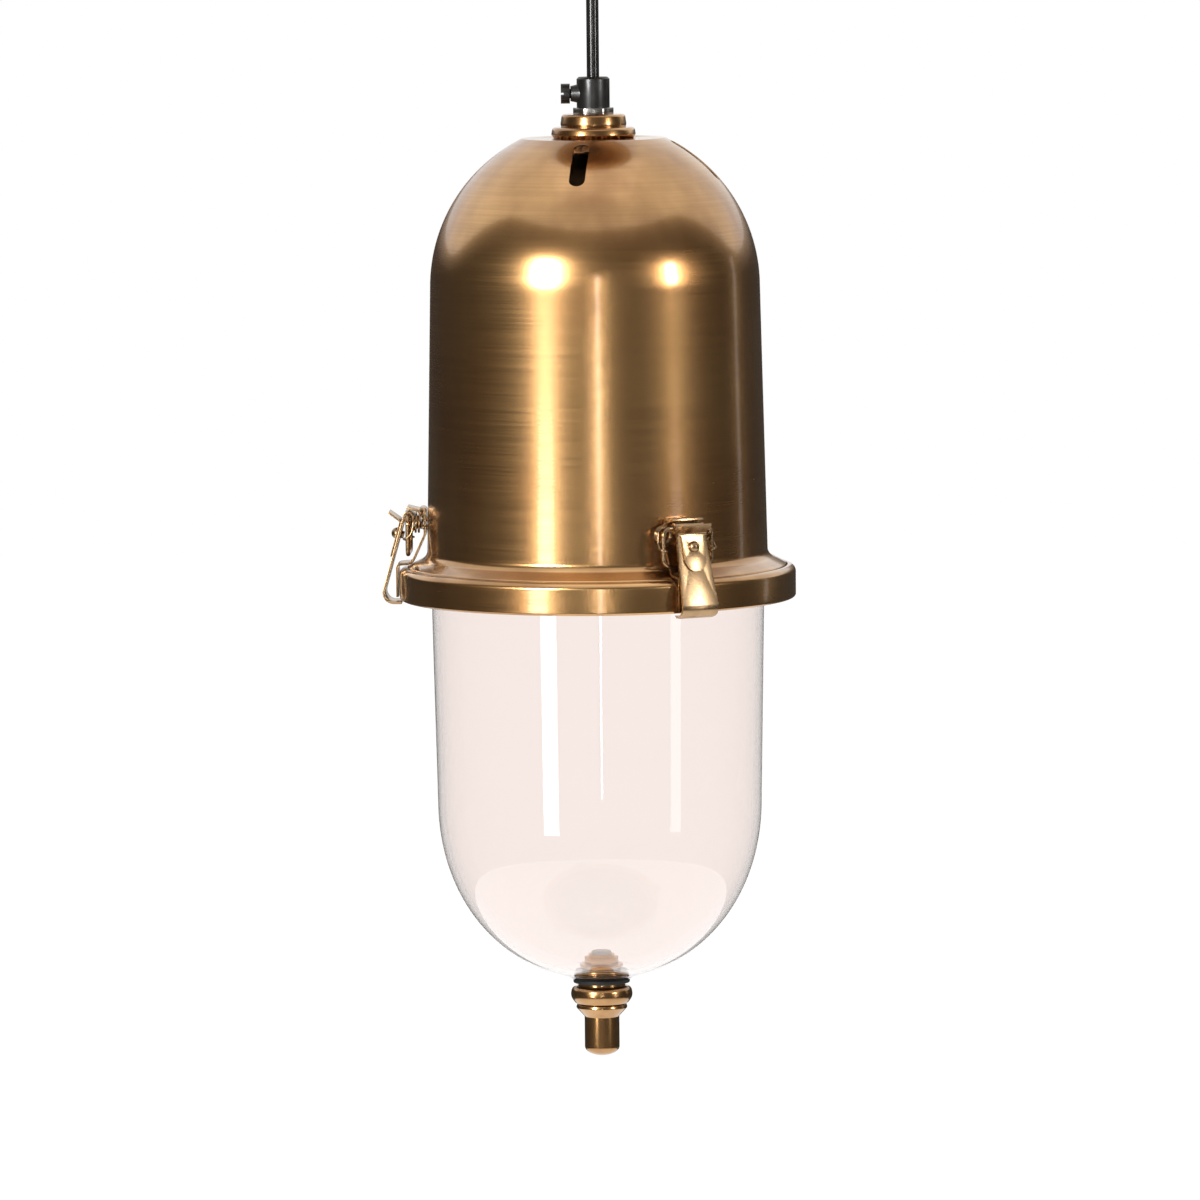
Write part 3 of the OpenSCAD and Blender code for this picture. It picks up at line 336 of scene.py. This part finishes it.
def thickened(line, t):
    """Closed outline of a sheet of thickness t whose outer face follows the line, with square ends."""
    points = [Vector(p) for p in line]
    inner = []
    for i, p in enumerate(points):
        before = (points[max(i, 1)] - points[max(i, 1) - 1]).normalized()
        after = (points[min(i, len(points) - 2) + 1] - points[min(i, len(points) - 2)]).normalized()
        n1, n2 = Vector((-before.y, before.x)), Vector((-after.y, after.x))
        inner.append(tuple(p - (n1 + n2) / (1 + n1.dot(n2)) * t))
    return [tuple(p) for p in points] + inner[::-1]


def new_object(name, mesh, body, finish, nodes=(), sharp=32):
    """Links a mesh as a piece: smooth with sharp edges over the angle, finished, riding on its body."""
    obj = bpy.data.objects.new(name, mesh)
    bpy.context.scene.collection.objects.link(obj)
    mesh.materials.clear()
    mesh.materials.append(materials()[finish])
    for polygon in mesh.polygons:
        polygon.use_smooth = True
    mesh.set_sharp_from_angle(angle=math.radians(sharp))
    if body:
        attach(obj, body)
    if nodes:
        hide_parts(*nodes)
    return obj


def lathe_mesh(name, outline, z0=RIM_Z, segments=None):
    """Mesh of a closed outline of (r, z) millimetres turned round the lamp's axis."""
    n = segments or sizes().segments
    mesh = bpy.data.meshes.new(name)
    points, faces, rings = [], [], []
    for r, z in outline:
        if r < 1e-4:
            rings.append([len(points)] * n)
            points.append((0, 0, (z + z0) * MM))
        else:
            rings.append(list(range(len(points), len(points) + n)))
            for k in range(n):
                a = 2 * math.pi * k / n
                points.append((r * math.cos(a) * MM, r * math.sin(a) * MM, (z + z0) * MM))
    for i, low in enumerate(rings):
        high = rings[(i + 1) % len(rings)]
        for k in range(n):
            m = (k + 1) % n
            face = list(dict.fromkeys((low[k], low[m], high[m], high[k])))
            if len(face) > 2:
                faces.append(face)
    mesh.from_pydata(points, [], faces)
    work = bmesh.new()
    work.from_mesh(mesh)
    bmesh.ops.recalc_face_normals(work, faces=work.faces)
    work.to_mesh(mesh)
    work.free()
    return mesh


def lathe(name, outline, body, finish, nodes, z0=RIM_Z, sharp=32):
    return new_object(name, lathe_mesh(name, outline, z0), body, finish, nodes, sharp)


def tube_mesh(name, route, radius, sides=14, closed=False):
    """Mesh of a round tube along route points in metres."""
    count = len(route)
    route = [Vector(p) for p in route]

    def heading(i):
        if closed:
            return (route[(i + 1) % count] - route[i - 1]).normalized()
        return (route[min(i + 1, count - 1)] - route[max(i - 1, 0)]).normalized()

    along = heading(0)
    side = along.orthogonal().normalized()
    points, faces = [], []
    for i, p in enumerate(route):
        along = heading(i)
        side = (side - along * side.dot(along)).normalized()
        over = along.cross(side)
        for k in range(sides):
            a = 2 * math.pi * k / sides
            points.append(p + radius * (side * math.cos(a) + over * math.sin(a)))
    for i in range(count if closed else count - 1):
        for k in range(sides):
            m, j = (k + 1) % sides, (i + 1) % count
            faces.append((i * sides + k, i * sides + m, j * sides + m, j * sides + k))
    if not closed:
        faces.append(tuple(range(sides))[::-1])
        faces.append(tuple(range((count - 1) * sides, count * sides)))
    mesh = bpy.data.meshes.new(name)
    mesh.from_pydata([tuple(p) for p in points], [], faces)
    return mesh


def dressed(node, finish, body, edge_mm=0.25, sharp=28):
    """Stands a finer copy in for a CAD node: merged faces, rounded edges and smooth shading."""
    mesh = frame["nodes"][node].data.copy()
    mesh.name = "shaped_" + node
    work = bmesh.new()
    work.from_mesh(mesh)
    bmesh.ops.remove_doubles(work, verts=work.verts, dist=1e-6)
    bmesh.ops.dissolve_limit(work, angle_limit=math.radians(1), verts=work.verts, edges=work.edges)
    if edge_mm:
        edges = [e for e in work.edges if len(e.link_faces) == 2 and e.calc_face_angle(0) > math.radians(40)]
        bmesh.ops.bevel(
            work, geom=edges, offset=edge_mm * MM, segments=2, profile=0.6, affect="EDGES", clamp_overlap=True
        )
    bmesh.ops.triangulate(work, faces=[f for f in work.faces if len(f.verts) > 4])
    work.to_mesh(mesh)
    work.free()
    for name in [a.name for a in mesh.attributes if a.name == "custom_normal"]:
        mesh.attributes.remove(mesh.attributes[name])
    return new_object("shaped_" + node, mesh, body, finish, (node,), sharp)


# --- The pieces ------------------------------------------------------------


def dome_line():
    """Outer face of the dome from the hole in its top to its hem."""
    s = sizes()
    crown_z = DOME_TOP - math.sqrt(s.crown_r**2 - s.flat_r**2)
    start = math.asin(s.flat_r / s.crown_r)
    crown = [
        (s.crown_r * math.sin(a), crown_z + s.crown_r * math.cos(a), 0)
        for a in (start + (math.pi / 2 - start) * i / 40 for i in range(41))
    ]
    corner_z = RIM_H + 0.2
    flare_z = corner_z + (HEM_R - s.sheet - s.wall_r) * math.tan(math.radians(28))
    foot = [(s.wall_r, flare_z + 0.6, 5), (HEM_R, corner_z + 0.2, 1.4), (HEM_R, HEM_LOW, 0)]
    crown[0] = (s.flat_r, DOME_TOP, 1.6)
    return rounded([(5.1, DOME_TOP, 0)] + crown + foot, steps=10), crown_z


def cut_vents(dome, crown_z):
    """Cuts the four vent slots, and keeps the round shading of the uncut sheet beside them."""
    s = sizes()
    whole = bpy.data.objects.new("whole_dome", dome.data.copy())
    bpy.context.scene.collection.objects.link(whole)
    cutters = []
    length = 2 * s.crown_r * math.sin(math.radians(11)) - s.vent_w
    for i in range(4):
        work = bmesh.new()
        ring = []
        for k in range(48):
            a = 2 * math.pi * k / 48
            x = s.vent_w / 2 * math.cos(a) + math.copysign(length / 2, math.cos(a) if abs(math.cos(a)) > 1e-6 else 1)
            ring.append(work.verts.new((x * MM, s.vent_w / 2 * math.sin(a) * MM, -8 * MM)))
        base = work.faces.new(ring)
        top = bmesh.ops.extrude_face_region(work, geom=[base])
        lifted = [v for v in top["geom"] if isinstance(v, bmesh.types.BMVert)]
        bmesh.ops.translate(work, vec=(0, 0, 16 * MM), verts=lifted)
        bmesh.ops.recalc_face_normals(work, faces=work.faces)
        mesh = bpy.data.meshes.new("vent")
        work.to_mesh(mesh)
        work.free()
        turn = math.radians(-8 + 90 * i - 90)
        mesh.transform(
            Matrix.Translation((0, 0, (RIM_Z + crown_z) * MM))
            @ Matrix.Rotation(turn, 4, "Z")
            @ Matrix.Rotation(math.radians(39), 4, "Y")
            @ Matrix.Translation((0, 0, s.crown_r * MM))
        )
        cutter = bpy.data.objects.new("vent", mesh)
        bpy.context.scene.collection.objects.link(cutter)
        cutters.append(cutter)
        cut = dome.modifiers.new("vent", "BOOLEAN")
        cut.object, cut.operation, cut.solver = cutter, "DIFFERENCE", "EXACT"
    shade = dome.modifiers.new("shade", "DATA_TRANSFER")
    shade.object = whole
    shade.use_loop_data = True
    shade.data_types_loops = {"CUSTOM_NORMAL"}
    shade.loop_mapping = "POLYINTERP_NEAREST"
    bpy.context.view_layer.update()
    made = bpy.data.meshes.new_from_object(dome.evaluated_get(bpy.context.evaluated_depsgraph_get()))
    dome.modifiers.clear()
    dome.data = made
    for extra in (*cutters, whole):
        bpy.data.objects.remove(extra)


def clip_matrix(clip):
    """Turns a clip's (r, across, z over the rim) millimetres into the lamp's place, in metres."""
    low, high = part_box(f"clip_bail_{clip}")
    middle = (low + high) / 2
    turn = math.atan2(middle.y, middle.x)
    return Matrix.Translation((0, 0, RIM_Z * MM)) @ Matrix.Rotation(turn, 4, "Z") @ Matrix.Scale(MM, 4)


def bail_route(middle_r=94.6, top_z=41.8, width=27.0, height=18.7, corner=4.0):
    """Closed wire loop: a rectangle with round corners."""
    points = []
    for i, (sx, sz) in enumerate(((1, 1), (-1, 1), (-1, -1), (1, -1))):
        cx, cz = sx * (width / 2 - corner), top_z - height / 2 + sz * (height / 2 - corner)
        for k in range(11):
            a = math.radians(90 * i + 9 * k)
            points.append((middle_r, cx + corner * math.cos(a), cz + corner * math.sin(a)))
    return points


def spring_route(eye=(87.58, 44.2), bail_r=94.6, bail_w=27.0, clip_w=17.0, coil_r=3.95, coil_z=38.4):
    """Spring wire: through the bracket's rolled eye, a coil each side, and a hook round each side of the bail."""
    side, coil_t, steps = bail_w / 2, bail_w / 2 - 2.6, 32
    half = [(eye[0], 0, eye[1]), (eye[0], clip_w / 2 - 1.2, eye[1]), (eye[0] + 0.2, clip_w / 2, eye[1] - 0.2)]
    half.append((eye[0] + 0.5, clip_w / 2 + 1.2, eye[1] - 1.1))
    for i in range(int(2.25 * steps) + 1):
        a = math.pi / 2 + 2 * math.pi * i / steps
        half.append((88.3 + 1.6 * i / steps, coil_t - coil_r * math.cos(a), coil_z + coil_r * math.sin(a)))
    half += [(92.1, side + 1.6, coil_z - 2.4), (92.9, side + 1.9, coil_z - 4.8)]
    for a in range(0, 241, 15):
        b = math.radians(a + 90)
        half.append((bail_r - 1.95 * math.cos(b), side + 1.95 * math.sin(b), coil_z - 6.6 - a / 120))
    return [(r, -t, z) for r, t, z in half[:0:-1]] + half


class LAMP_OT_stage(bpy.types.Operator):
    """Camera, white surroundings, softboxes, dark cards and floor"""

    bl_idname = "lamp.stage"
    bl_label = "Stage"

    def execute(self, context):
        scene = context.scene
        scene.view_settings.view_transform = "Standard"
        camera = bpy.data.objects.new("camera", bpy.data.cameras.new("camera"))
        scene.collection.objects.link(camera)
        camera.data.sensor_width = 36
        camera.data.lens = 255
        camera.location = (0.001, -4.25, 0.05)
        aim = Vector((0.001, 0, -0.3585))
        look = (aim - camera.location).to_track_quat("-Z", "Y").to_matrix().to_4x4()
        camera.rotation_euler = (look @ Matrix.Rotation(math.radians(-0.55), 4, "Z")).to_euler()
        scene.camera = camera
        self.surroundings(scene)
        self.cards(scene)
        middle = Vector((0, 0, -0.3))
        for name, azimuth, elevation, width, height, radiance in (
            ("softbox_left", -34, 15, 0.34, 0.42, 46.0),
            ("strip_left", -34, -10, 0.28, 0.55, 8.0),
            ("softbox_right", 54, 13, 0.2, 0.32, 30.0),
            ("strip_right", 54, -10, 0.2, 0.5, 2.8),
            ("gap_light", 1.5, 0, 0.022, 0.75, 26.0),
            ("far_right", 112, 2, 0.1, 0.6, 0.9),
            ("overhead", 0, 88, 1.1, 1.1, 0.36),
        ):
            a, e = math.radians(azimuth), math.radians(elevation)
            lamp = bpy.data.lights.new(name, "AREA")
            lamp.shape, lamp.size, lamp.size_y = "RECTANGLE", width, height
            lamp.energy = radiance * math.pi * width * height
            place = bpy.data.objects.new(name, lamp)
            scene.collection.objects.link(place)
            place.location = middle + 1.5 * Vector((math.sin(a) * math.cos(e), -math.cos(a) * math.cos(e), math.sin(e)))
            place.rotation_euler = (middle - place.location).to_track_quat("-Z", "Y").to_euler()
            place.visible_camera = False
            place.visible_transmission = False
        return {"FINISHED"}

    def surroundings(self, scene):
        """White to the camera, in reflections and through glass, dimmer as light; a white floor well below."""
        world = bpy.data.worlds.new("white_studio")
        scene.world = world
        world.use_nodes = True
        tree = world.node_tree
        tree.nodes.clear()
        path = add_node(tree, "ShaderNodeLightPath")
        kinds = [path.outputs[f"Is {kind} Ray"] for kind in ("Camera", "Glossy", "Transmission")]
        seen = add_node(tree, "ShaderNodeMath", {0: kinds[0], 1: kinds[1]}, operation="ADD")
        seen = add_node(tree, "ShaderNodeMath", {0: seen.outputs[0], 1: kinds[2]}, operation="ADD", use_clamp=True)
        strength = add_node(tree, "ShaderNodeMapRange", {"Value": seen.outputs[0], "To Min": 0.45, "To Max": 1.0})
        white = {"Color": (1, 1, 1, 1), "Strength": strength.outputs["Result"]}
        background = add_node(tree, "ShaderNodeBackground", white)
        add_node(tree, "ShaderNodeOutputWorld", {"Surface": background.outputs[0]})
        mesh = bpy.data.meshes.new("floor")
        mesh.from_pydata([(-9, -9, -1.6), (9, -9, -1.6), (9, 14, -1.6), (-9, 14, -1.6)], [], [(0, 1, 2, 3)])
        floor = bpy.data.objects.new("floor", mesh)
        scene.collection.objects.link(floor)
        made = bpy.data.materials.new("white_floor")
        made.use_nodes = True
        tree = made.node_tree
        tree.nodes.clear()
        fine = stretched(tree, (3, 3, 3))
        paper = blend_colours(tree, fine, (0.56, 0.56, 0.56), (0.6, 0.6, 0.6))
        matt = add_node(tree, "ShaderNodeBsdfDiffuse", {"Color": paper})
        glow = add_node(tree, "ShaderNodeEmission", {"Color": (1, 1, 1, 1), "Strength": 0.78})
        both = add_node(tree, "ShaderNodeAddShader", {0: matt.outputs[0], 1: glow.outputs[0]})
        add_node(tree, "ShaderNodeOutputMaterial", {"Surface": both.outputs[0]})
        mesh.materials.append(made)

    def cards(self, scene):
        """Dark cards round the lamp, open behind and above its back: they give the brass its brown sides."""
        radius, low = 2.1, -1.55
        points, faces, tones = [], [], []
        # Azimuth from the front and the card's brightness there.
        stops = [(-172, 0.045), (-120, 0.05), (-95, 0.06), (-60, 0.07), (-20, 0.13)]
        stops += [(20, 0.11), (60, 0.08), (90, 0.05), (120, 0.06), (172, 0.05)]
        for k in range(173):
            a = -172 + 2 * k
            turn = math.radians(a)
            lift = 0.16 + 0.6 * (0.5 + 0.5 * math.cos(math.radians(min(180, max(0, (abs(a) - 70) * 3.2)))))
            tone = next(
                t0 + (t1 - t0) * (a - a0) / (a1 - a0) for (a0, t0), (a1, t1) in zip(stops, stops[1:]) if a0 <= a <= a1
            )
            rise = radius * lift
            rows = ((low, 1, 0), (-0.3, 1, 0), (-0.3 + 0.6 * rise, 1.1, 0), (-0.3 + 1.25 * rise, 1, 0.3))
            for z, extra, added in rows:
                points.append((radius * math.sin(turn), -radius * math.cos(turn), z))
                tones.append(tone * extra + added)
        for k in range(172):
            for j in range(3):
                faces.append((4 * k + j, 4 * k + 4 + j, 4 * k + 5 + j, 4 * k + 1 + j))
        mesh = bpy.data.meshes.new("cards")
        mesh.from_pydata(points, [], faces)
        layer = mesh.attributes.new("tone", "FLOAT", "POINT")
        layer.data.foreach_set("value", tones)
        made = bpy.data.materials.new("dark_card")
        made.use_nodes = True
        tree = made.node_tree
        tree.nodes.clear()
        tone = add_node(tree, "ShaderNodeAttribute", attribute_name="tone")
        glow = add_node(tree, "ShaderNodeEmission", {"Color": (1, 0.9, 0.8, 1), "Strength": tone.outputs["Fac"]})
        add_node(tree, "ShaderNodeOutputMaterial", {"Surface": glow.outputs[0]})
        mesh.materials.append(made)
        cards = bpy.data.objects.new("cards", mesh)
        scene.collection.objects.link(cards)
        for ray in ("camera", "transmission", "diffuse", "shadow"):
            setattr(cards, "visible_" + ray, False)


class LAMP_OT_flex(bpy.types.Operator):
    """Flex from the rose's grip to the lampholder"""

    bl_idname = "lamp.flex"
    bl_label = "Flex"

    def execute(self, context):
        radius = sizes().flex_d / 2 * MM
        grip_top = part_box("cord_grip")[1].z
        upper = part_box("cord_tail")[1].z
        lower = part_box("cord")[0].z
        count = 24
        route = [(0, 0, grip_top + (upper - grip_top) * i / (count - 1)) for i in range(count)]
        flex = new_object("flex", tube_mesh("flex", route, radius, 32), None, "flex", ("cord_tail",))
        swing = frame["joints"][0]["pos_m"]
        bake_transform(flex, "lamp", "ceiling", start=(0, 0, swing[2] - 0.003), end=(0, 0, swing[2] + 0.003))
        inside = [(0, 0, lower + (grip_top - lower) * i / 8) for i in range(9)]
        new_object("flex_inside", tube_mesh("flex_inside", inside, radius, 24), "lamp", "flex", ("cord",))
        for node, body in (("rose_cores", "ceiling"), ("holder_cores", "lamp")):
            dressed(node, "core", body, 0, 60)
        return {"FINISHED"}


class LAMP_OT_dome(bpy.types.Operator):
    """Spun brass dome with its vent slots"""

    bl_idname = "lamp.dome"
    bl_label = "Dome"

    def execute(self, context):
        line, crown_z = dome_line()
        outline = thickened(line, sizes().sheet)
        dome = new_object("spun_dome", lathe_mesh("spun_dome", outline), "lamp", "spun", ("dome",))
        cut_vents(dome, crown_z)
        return {"FINISHED"}


class LAMP_OT_rim(bpy.types.Operator):
    """Spun rim ring and the gaskets in it"""

    bl_idname = "lamp.rim"
    bl_label = "Rim ring"

    def execute(self, context):
        s = sizes()
        mouth, hole = HEM_R + 0.3, s.glass_r + 0.8
        line = rounded(
            [(mouth, RIM_H, 0), (RIM_R, RIM_H, 3.6), (RIM_R, 0, 1.5), (hole, 0, 0)],
            steps=10,
        )
        lathe("spun_rim_ring", thickened(line, s.sheet), "glass_unit", "spun", ("rim_ring",))
        for node in ("seat_gasket", "top_gasket"):
            dressed(node, "rubber", "glass_unit", 0.3)
        return {"FINISHED"}


class LAMP_OT_bowl(bpy.types.Operator):
    """Clear blown glass bowl"""

    bl_idname = "lamp.bowl"
    bl_label = "Glass bowl"

    def execute(self, context):
        s = sizes()
        depth, power, t = -BOWL_LOW - s.glass_straight, 2 / 2.1, s.glass_wall
        flange_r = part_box("glass_bowl")[1].x / MM
        flange_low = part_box("glass_bowl")[1].z / MM - RIM_Z - t
        curve = [
            (s.glass_low_r * math.cos(a) ** power, -s.glass_straight - depth * math.sin(a) ** power, 0)
            for a in (math.radians(90 * i / 48) for i in range(1, 48))
        ]
        curve = [p for p in curve if p[0] > 17]
        line = rounded(
            [(flange_r, flange_low, 0), (s.glass_r, flange_low, 2.5), (s.glass_low_r, -s.glass_straight, 0)]
            + curve
            + [(15, BOWL_LOW + 0.03, 0), (5.3, BOWL_LOW, 0)],
            steps=12,
        )
        outline = thickened(line, s.glass_wall)
        lathe("blown_bowl", outline, "glass_unit", "glass", ("glass_bowl",), sharp=40)
        return {"FINISHED"}


class LAMP_OT_neck(bpy.types.Operator):
    """Collar, nut, cord grip and its clamp screw"""

    bl_idname = "lamp.neck"
    bl_label = "Neck"

    def execute(self, context):
        for node in ("collar_base", "collar_top"):
            low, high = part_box(node)
            r, h = high.x / MM, (high.z - low.z) / MM
            drop = 1.2 if node == "collar_base" else 0.3
            edge = 1.8 if node == "collar_base" else 1.6
            corners = [(5.1, h, 0), (r - 0.7, h, edge), (r, edge, edge * 0.7), (r - drop, 0, 0), (5.1, 0, 0)]
            lathe("turned_" + node, rounded(corners, 8), "lamp", "turned", (node,), z0=low.z / MM)
        dressed("top_nut", "steel", "lamp", 0.3)
        dressed("cord_grip", "plastic", "lamp", 0.4)
        dressed("grip_screw", "plastic", "lamp", 0.35)
        for node in ("nipple", "dome_washer", "dome_nut"):
            dressed(node, "steel", "lamp", 0.2)
        return {"FINISHED"}


class LAMP_OT_finial(bpy.types.Operator):
    """Washers and nut in the glass, and the turned ring, cup and barrel under it"""

    bl_idname = "lamp.finial"
    bl_label = "Finial"

    def execute(self, context):
        low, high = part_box("finial_ring")
        r, h = high.x / MM, (high.z - low.z) / MM - 1.5
        ring = [(5.1, h + 1.5, 0), (11.75, h + 1.5, 0.3), (11.75, h, 0.4), (r - 0.8, h - 0.6, 3)]
        ring += [(r + 0.1, h * 0.42, 5), (r - 2.4, 0.6, 1.6), (r - 6, 0, 0), (5.1, 0, 0)]
        lathe("turned_finial_ring", rounded(ring, 10), "glass_unit", "turned", ("finial_ring",), z0=low.z / MM)
        low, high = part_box("finial_barrel")
        cup_r, top, r = high.x / MM, (high.z - low.z) / MM, 8.8
        end = [(r * math.cos(a), 4.8 - 4.8 * math.sin(a), 0) for a in (math.radians(90 - 9 * i) for i in range(0, 11))]
        barrel = [(x, z, 0) for x, z, _ in end] + [(r, top - 6.2, 0.5), (cup_r - 2.4, top - 4.3, 3.5)]
        barrel += [(cup_r, top - 1.6, 1), (cup_r - 0.6, top, 0.4), (5.1, top, 0), (5.1, top - 9, 0), (0, top - 9, 0)]
        outline = rounded(barrel, 8)
        lathe("turned_finial_barrel", outline, "glass_unit", "turned", ("finial_barrel",), z0=low.z / MM)
        dressed("outer_washer", "rubber", "glass_unit", 0.5)
        dressed("inner_rubber", "rubber", "glass_unit", 0.4)
        dressed("inner_washer", "turned", "glass_unit", 0.4)
        dressed("inner_nut", "turned", "glass_unit", 0.4)
        dressed("finial_stud", "steel", "glass_unit", 0.5)
        return {"FINISHED"}


class LAMP_OT_clips(bpy.types.Operator):
    """Brackets, springs, bails, straps, tongues and rivets of the three clips"""

    bl_idname = "lamp.clips"
    bl_label = "Spring clips"

    def execute(self, context):
        s = sizes()
        dressed("bracket_rivets", "clip", "lamp", 0.1)
        for clip in CLIPS:
            place = clip_matrix(clip)
            bail = [place @ Vector(p) for p in bail_route()]
            mesh = tube_mesh(f"wire_bail_{clip}", bail, s.bail_d / 2 * MM, 18, closed=True)
            new_object(f"wire_bail_{clip}", mesh, "lamp", "wire", (f"clip_bail_{clip}",), 60)
            spring = [place @ Vector(p) for p in spring_route()]
            mesh = tube_mesh(f"wire_spring_{clip}", spring, s.spring_d / 2 * MM, 12)
            new_object(f"wire_spring_{clip}", mesh, "lamp", "wire", (f"clip_spring_{clip}",), 60)
            dressed(f"clip_bracket_{clip}", "clip", "lamp", 0.2)
            dressed(f"clip_strap_{clip}", "clip", f"strap_{clip}", 0.25)
            dressed(f"clip_tongue_{clip}", "clip", f"strap_{clip}", 0.2)
            dressed(f"clip_rivet_{clip}", "clip", f"strap_{clip}", 0.1)
        return {"FINISHED"}


class LAMP_OT_light(bpy.types.Operator):
    """Lampholder and bulb in the dome"""

    bl_idname = "lamp.light"
    bl_label = "Lampholder and bulb"

    def execute(self, context):
        for node in ("holder_cap", "holder_shell"):
            dressed(node, "plastic", "lamp", 0.4)
        dressed("holder_insulator", "porcelain", "lamp", 0.3)
        for node in ("holder_screw_shell", "holder_contact"):
            dressed(node, "bright", "lamp", 0.15)
        dressed("bulb_cap", "steel", "bulb", 0.3)
        dressed("bulb_filaments", "bright", "bulb", 0.2)
        dressed("bulb_glass", "bulb", "bulb", 0, 60)
        return {"FINISHED"}


class LAMP_OT_rose(bpy.types.Operator):
    """Ceiling rose with its bracket, terminals and grip"""

    bl_idname = "lamp.rose"
    bl_label = "Ceiling rose"

    def execute(self, context):
        dressed("rose_cup", "spun", "ceiling", 0.3)
        dressed("rose_screws", "turned", "ceiling", 0.5)
        dressed("ceiling_bracket", "steel", "ceiling", 0.3)
        dressed("rose_nut", "steel", "ceiling", 0.3)
        dressed("terminal_block", "porcelain", "ceiling", 0.6)
        dressed("terminal_tubes", "bright", "ceiling", 0.2)
        dressed("rose_grip", "plastic", "ceiling", 0.4)
        dressed("rose_grip_screw", "plastic", "ceiling", 0.35)
        return {"FINISHED"}


class LAMP_PT_panel(bpy.types.Panel):
    """Lists the lamp's sizes, colours and pieces"""

    bl_label = "Hanging Lamp"
    bl_idname = "LAMP_PT_panel"
    bl_space_type = "VIEW_3D"
    bl_region_type = "UI"
    bl_category = "Lamp"

    def draw(self, context):
        for group in (context.scene.lamp_sizes, context.scene.lamp_colours):
            for name in group.bl_rna.properties.keys():
                if name not in ("rna_type", "name"):
                    self.layout.prop(group, name)
        for operator in OPERATORS:
            self.layout.operator(operator.bl_idname)


OPERATORS = (
    LAMP_OT_stage,
    LAMP_OT_flex,
    LAMP_OT_dome,
    LAMP_OT_rim,
    LAMP_OT_bowl,
    LAMP_OT_neck,
    LAMP_OT_finial,
    LAMP_OT_clips,
    LAMP_OT_light,
    LAMP_OT_rose,
)
CLASSES = (LampSizes, LampColours, *OPERATORS, LAMP_PT_panel)


def register():
    for made in CLASSES:
        bpy.utils.register_class(made)
    bpy.types.Scene.lamp_sizes = PointerProperty(type=LampSizes)
    bpy.types.Scene.lamp_colours = PointerProperty(type=LampColours)


def unregister():
    del bpy.types.Scene.lamp_sizes
    del bpy.types.Scene.lamp_colours
    for made in reversed(CLASSES):
        bpy.utils.unregister_class(made)


def main():
    register()
    for operator in OPERATORS:
        family, name = operator.bl_idname.split(".")
        getattr(getattr(bpy.ops, family), name)()


if __name__ == "__main__":
    main()
